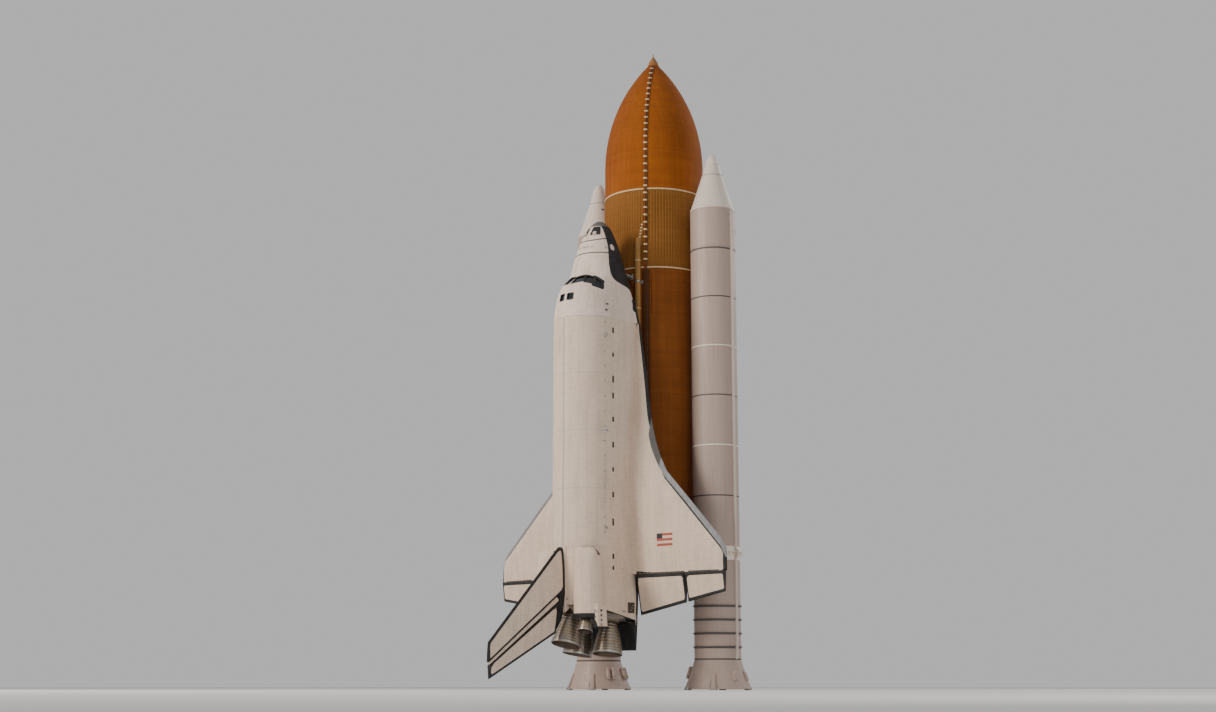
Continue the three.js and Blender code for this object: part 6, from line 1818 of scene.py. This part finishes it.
# Body flap
rows = []
for y in np.linspace(-107.5, 107.5, 30):
    ring = [(FLAP_X + FLAP_RADIUS * math.cos(t), y, FLAP_Z + FLAP_RADIUS * math.sin(t))
            for t in np.radians(np.linspace(92, 268, 17))]
    ring += [(FLAP_X + 81 * s, y, FLAP_Z - 10 + 6 * s) for s in (0.1, 0.4, 0.7, 0.96)]
    ring += [(1613, y, FLAP_Z - 3.4), (1613, y, FLAP_Z - 1.7)]
    ring += [(FLAP_X + 81 * s, y, FLAP_Z + 10 - 11 * s) for s in (0.96, 0.7, 0.4, 0.1)]
    rows.append(ring)
shell = Shell().grid(rows, uv=planar_uv(rows))
for side in (-1, 1):
    shell.rod((FLAP_X, side * 100, FLAP_Z), (FLAP_X, side * 112, FLAP_Z), 2.5, sides=20, slot=1)
for y in np.linspace(-90, 90, 7):
    shell.hull([(x, y + dy, z) for dy in (-0.5, 0.5) for x,
                z in ((1548, 297), (1548, 298.9), (1600, 290.2), (1600, 291.8))], slot=0)
piece("body_flap_tiles", shell, "orbiter", [BLACK_TILES, STEEL], body="body_flap", replaces=["body_flap"],
      sharp=35)


def engine_shell(spec, main=True):
    """Cap, bell with its hoops, feed lines, manifolds and coolant ring."""
    place = engine_place(spec)
    shell = Shell()
    wall = 1.5

    def turned(s, r, degrees):
        t = math.radians(degrees)
        return tuple(place @ Vector((s, r * math.cos(t), r * math.sin(t))))

    def lines(angles, stations, thick, gap, radius, sides, slot, wave=0):
        """Tubes along the bell, a gap off its outer face, or off its inner one where thick is 0."""
        for angle in angles:
            line = [turned(s, bell_radius(s) + thick + gap, angle + wave * math.sin(s / 18))
                    for s in stations]
            shell.tube(line, radius, sides, smooth=0, slot=slot)

    cap_end = math.sqrt(CAP_RADIUS**2 - 19.5**2)
    shell.lathe([(44.5, 0)] + ball_arc(CAP_RADIUS, 44.5, cap_end, 14) + [(cap_end, 12)], 72, place, slot=2)
    shell.hoop([(45.1, 41.2), (45.1, 42.1), (46.9, 41.0), (46.9, 39.6)], 72, place, slot=3)
    outside = [(s, bell_radius(s) + wall) for s in np.linspace(57, 160, 36)[:-1]]
    inside = [(s, bell_radius(s)) for s in np.linspace(160, 60, 34)]
    rim = bell_radius(160)
    shell.lathe([(cap_end, 12), (cap_end - 0.3, 19.4), *outside, (159.4, bell_radius(159.4) + wall),
                 (160, rim + 0.9),
                 (160, rim + 0.2)], 96, place)
    shell.lathe([(160, rim + 0.2), *inside, (60, 9), (59.4, 0)], 96, place, slot=1)
    for s in (70, 80, 90, 100, 110, 120, 130, 139, 147) if main else (74, 92, 112, 134):
        r = bell_radius(s) + wall - 0.2
        shell.hoop([(s - 1.3, r), (s - 0.9, r + 1.1), (s + 0.9, r + 1.2), (s + 1.3, r)], 96, place, slot=3)
    r = bell_radius(155.5)
    shell.hoop([(152.6, r + 1.0), (153.4, r + 2.35), (156, r + 2.55), (158.6, r + 2.5), (159.6, r + 1.9),
                (159.6, r + 0.6)], 96, place, slot=3)
    if main:
        lines((20, 140, 260), np.linspace(62, 152, 26), wall, 0.35, 0.85, 10, 3, wave=6)
        lines(range(0, 360, 10), np.linspace(61, 153, 14), wall, 0, 0.32, 6, 0)
        lines(range(3, 363, 15), np.linspace(66, 159, 12), 0, -0.02, 0.3, 6, 1)
        # Manifold stubs at the bell's head
        r = bell_radius(60) - 0.2
        for t in np.radians((65, 185, 305)):
            stub = place @ place_along((60, r * math.cos(t), r * math.sin(t)), (1, 0, 0))
            shell.lathe([(0, 0), (0, 2.1), (3.6, 2.1), (4.2, 1.5), (4.2, 0)], 20, stub, slot=3)
        # Injector face inside
        for ring, many in ((3, 6), (6, 12)):
            for k in range(many):
                t = 360 * k / many
                shell.rod(turned(59.2, ring, t), turned(61.2, ring, t), 0.7, sides=8, slot=3)
    else:
        lines((0, 120, 240), np.linspace(60, 150, 16), wall, 0.4, 0.9, 8, 3)
    # Shaft and trunnions inside the ball
    shell.lathe([(0, 0), (0, 3.6), (45.5, 3.6), (45.5, 0)], 24, place, slot=3)
    shell.rod(*placed(place, [(0, -12, 0), (0, 12, 0)]), 5 * spec[3], sides=28, slot=3, bevel=0.2)
    return shell


ENGINE_FINISH = [BRONZE, BELL_INSIDE, DOME_BLANKET, STEEL]
for name, spec in ENGINES.items():
    piece(f"{name}_bell", engine_shell(spec), "orbiter", ENGINE_FINISH, body=name, replaces=[name],
          sharp=40)

# Orbital manoeuvring pods
POD_SECTIONS = (
    (1306, 68, 479, 28, 17), (1312, 70, 478, 37, 26), (1330, 74, 475, 43.5, 35), (1395, 79, 474, 46, 43),
    (1450, 83, 476, 46, 46),
    (1520, 86, 480, 46, 44),
)
pod_rows = table_curve(POD_SECTIONS)


def pod_black(x, y, z):
    a = np.abs(y)
    outer = np.minimum(1331 - x, 474 - z)
    inner = np.minimum(1327 - x, 44 - a)
    return np.maximum.reduce([outer, inner, np.where(a < 132, x - 1506, x - 1545)])


# How far a pod's ends are drawn in, by station
POD_INSETS = {1306: 3.5, 1306.6: 1.6, 1307.6: 0.5, 1516: 0.2, 1518.5: 1.2, 1520: 3.5}
# Profiles of the pods' thruster ports
SIDE_PORT = [(-2, 0), (-2, 2.3), (1.2, 3.4), (1.4, 2.9), (-1.6, 1.5), (-1.6, 0)]
UPRIGHT_PORT = [(-2, 0), (-2, 2.3), (1.2, 3.3), (1.4, 2.8), (-1.6, 1.5), (-1.6, 0)]
AFT_PORT = [(-3, 0), (-3, 2.4), (2.4, 3.4), (2.6, 2.9), (-2, 1.5), (-2, 0)]
SMALL_PORT = [(-1, 0), (-1, 1.1), (1.2, 1.5), (1.3, 1.2), (-0.6, 0.7), (-0.6, 0)]
for name, side in SIDES:
    rows = []
    for x in (1306, 1306.6, 1307.6, 1309, 1311, 1313, 1316, 1320, 1324, 1328, 1331, 1337, 1345,
              *range(1355, 1520, 11), 1516, 1518.5, 1520):
        y, z, wide, high = pod_rows.at(x)
        inset = POD_INSETS.get(x, 0)
        rows.append([(x, y + (wide - inset) * math.cos(t), z + (high - inset) * math.sin(t))
                     for t in np.linspace(0, 2 * np.pi, 72, endpoint=False)])
    pod = to_object(f"manoeuvring_pod_skin_{name}", Shell().grid(rows, uv=girth_uv(rows), cap_slot=1),
                    "orbiter",
                    [SKIN, BASE_TILES, DOME_BLANKET, STEEL, DARK_METAL])
    ball_place = engine_place(MANOEUVRING["right"])
    cut(pod, ball_pocket(ball_place))
    cut(pod, Shell().grid(body_rows(aft_rows, [1290, 1296, 1302, *range(1310, 1560, 10)], 0.05)))
    cut(pod, Shell().block((1200, 1600), (-15.4, 15.4), (300, 700), edge=0.01))
    if side < 0:
        mirror(pod)
    more = Shell()
    more.hull([(1470, 118, 452), (1470, 118, 500), (1548, 120, 450), (1548, 120, 498), (1484, 138, 458),
               (1484, 136, 494), (1548, 142, 456), (1548, 139, 494)], bevel=1.2)
    add_dome(more, ball_place, 2)
    # Thruster ports: outboard, upward and downward, and aft
    ports = [(SIDE_PORT, (x, 139.6, 482), (0, 1, 0.1)) for x in (1498, 1512, 1526, 1540)]
    for x in (1500, 1516, 1532):
        ports += [(UPRIGHT_PORT, (x, 129, 497.2), (0, 0.1, 1)), (UPRIGHT_PORT, (x, 130, 455.5), (0, 0.1, -1))]
    ports += [(AFT_PORT, (1547.6, y, 488), (1, 0, 0)) for y in (126, 134)]
    for profile, at, out in ports:
        more.lathe(profile, 24, place_along(at, out), slot=4)
    for y in (126, 134):
        more.lathe(SMALL_PORT, 20, place_along((1547.8, y, 464), (1, 0, 0)), slot=4)
    # Access panels
    for x, t in ((1400, 0.9), (1450, 0.5), (1430, 1.3), (1480, 1.1)):
        y, z, wide, high = pod_rows.at(x)
        c, s = math.cos(t), math.sin(t)
        tilt = math.pi / 2 - math.atan2(s / high, c / wide)
        place = Matrix.Translation((x, y + wide * c, z + high * s)) @ Matrix.Rotation(-tilt, 4, "X")
        more.block((-9, 9), (-6, 6), (-1.0, 0.35), place=place, edge=0.25)
    add_shell(pod, more.side(side))
    finish_piece(pod, "stack", [f"manoeuvring_pod_{name}"], {"black": pod_black}, sharp=38)
    piece(f"manoeuvring_engine_{name}_bell", engine_shell(MANOEUVRING[name], False), "orbiter", ENGINE_FINISH,
          body=f"manoeuvring_engine_{name}", replaces=[f"manoeuvring_engine_{name}"],
          sharp=40)

# Fin, hinge fairing and the two rudder panels
RUDDER_Z = (533, 812)


def hinge_x(z):
    return 1441 + (z - 503) * 0.695


def fin_back(z):
    return 1548 + (z - 503) * 0.495


def fin_front(z):
    return np.maximum(1304, 1286 + (z - 507))


def half_thick(z):
    return 13.6 - (z - 503) * 8 / 315


rows = []
fin_shape = Curve([0, 0.02, 0.12, 0.5, 1], [0.02, 0.16, 0.40, 0.82, 1.0])
for z in [*np.linspace(507.05, 523, 4), *np.linspace(530, 812, 30), 815.2, 816]:
    h = half_thick(z) * (1 if z < 813 else 0.93 if z < 816 else 0.75)
    front, back = fin_front(z), hinge_x(z) - 0.9 * half_thick(z) - 1
    shares = (0.0, 0.003, 0.01, 0.02, 0.05, 0.09, 0.14, 0.22, 0.32, 0.45, 0.6, 0.75, 0.9, 1.0)
    up = [(front + (back - front) * s, h * fin_shape.at(s), z) for s in shares]
    rows.append(up + [(x, -y, z) for x, y, z in reversed(up)])
fin = to_object("fin_skin", Shell().grid(rows, uv=planar_uv(rows, (0, 2))), "orbiter",
                [SKIN, STEEL, BLACK_TILES])
# The fin's foot, which reaches behind the hinge line
ends = []
for z in (507.05, 530):
    end = 1514 if z < 520 else fin_back(z) - 10
    ends += both_sides((hinge_x(z) - 20, half_thick(z), z), (hinge_x(z), half_thick(z), z), (end, 3, z))
add_shell(fin, Shell().hull(ends, bevel=0.5))
# Room for the rudder's hinge fairing
low, high = 531.4, 828
cut(fin, Shell().rod((hinge_x(low), 0, low), (hinge_x(high), 0, high), half_thick(low) * 0.8 + 0.42,
                     half_thick(high) * 0.8 + 0.42, sides=48, bevel=0.01))


def fin_black(x, y, z):
    edge = 11.5 - (x - fin_front(z))
    tip = z - 811
    root = np.minimum(516.5 - z, 1502 - x)
    return np.maximum.reduce([edge, tip, root, x - (hinge_x(z) - 0.9 * half_thick(z) - 8)])


finish_piece(fin, "stack", ["fin"], {"black": fin_black}, sharp=32)

# Hinge fairing, which turns with the rudder
shell = Shell()
low, high = RUDDER_Z
shell.rod((hinge_x(low), 0, low), (hinge_x(high), 0, high), half_thick(low) * 0.8, half_thick(high) * 0.8,
          sides=64,
          bevel=0.3)
axis = Vector((0.695, 0, 1)).normalized()
for z in np.linspace(low + 12, high - 12, 12):
    r = half_thick(z) * 0.8
    shell.hoop([(-0.25, r - 0.3), (-0.25, r + 0.12), (0.25, r + 0.12), (0.25, r - 0.3)], 48,
               place_along((hinge_x(z), 0, z), axis), slot=1)
shell.rod((hinge_x(518), 0, 518), (hinge_x(538), 0, 538), 2.5, sides=20, slot=1)
piece("rudder_hinge_fairing_skin", shell, "orbiter", [PLAIN_WHITE, STEEL], body="rudder_hinge_fairing",
      replaces=["rudder_hinge_fairing"], sharp=40)

def rudder_black(x, y, z):
    """A rim round each panel."""
    front = hinge_x(z) + 0.992 * half_thick(z) + 5.5
    return np.maximum.reduce([x - (fin_back(z) - 8), low + 6 - z, z - (high - 7), front - x])

for name, side in SIDES:
    rows = []
    for z in np.linspace(low, high, 32):
        h = half_thick(z)
        front, back = hinge_x(z) + 0.992 * h + 0.42, fin_back(z)
        face = [(front + (back - front) * s, 0.97 * h + (1.4 - 0.97 * h) * s - (0.5 if s == 0 else 0), z)
                for s in (0, 0.02, 0.3, 0.6, 0.9, 1.0)]
        rows.append([(front, 0.22, z), *face, (back, 0.22, z)])
    shell = Shell().grid(rows, uv=planar_uv(rows, (0, 2)))
    # Hinge arms
    for z in (560, 780):
        h = half_thick(z)
        shell.block((hinge_x(z) + 0.8 * h + 0.2, hinge_x(z) + h * 1.6 + 2), (0.22, 2.2), (z - 6, z + 6),
                    slot=1,
                    edge=0.2)
    piece(f"rudder_panel_skin_{name}", shell.side(side), "orbiter", [SKIN, STEEL],
          body=f"rudder_panel_{name}",
          replaces=[f"rudder_panel_{name}"], zones={"black": rudder_black}, sharp=32)

# Floor and light, in metres
FLOOR_HALF = 150
floor_mesh = bpy.data.meshes.new("floor")
corners = [(x * FLOOR_HALF, y * FLOOR_HALF, 0) for x, y in ((-1, -1), (1, -1), (1, 1), (-1, 1))]
floor_mesh.from_pydata(corners, [], [(0, 1, 2, 3)])
floor = new_object("floor", floor_mesh)
ground = Nodes("floor_pale")
ground.set(Base_Color=(0.72, 0.72, 0.72, 1), Roughness=0.9)
floor_mesh.materials.append(ground.material)

sky = bpy.data.worlds.new("studio")
bpy.context.scene.world = sky
sky.use_nodes = True
background = sky.node_tree.nodes["Background"].inputs
background["Color"].default_value = (0.88, 0.88, 0.88, 1)
background["Strength"].default_value = 0.62

def area_light(name, place, target, size, power, tint):
    data = bpy.data.lights.new(name, "AREA")
    data.shape = "DISK"
    data.size = size
    data.energy = power
    data.color = tint
    aim(new_object(name, data), place, target)

area_light("key", (-16, -42, 30), (0, 0, 13), 16, 19000, (1.0, 0.92, 0.83))
area_light("fill", (46, -26, 14), (0, 0, 13), 20, 3300, (1.0, 0.95, 0.89))
area_light("back", (10, 44, 34), (0, 0, 14), 18, 7000, (1.0, 0.98, 0.95))
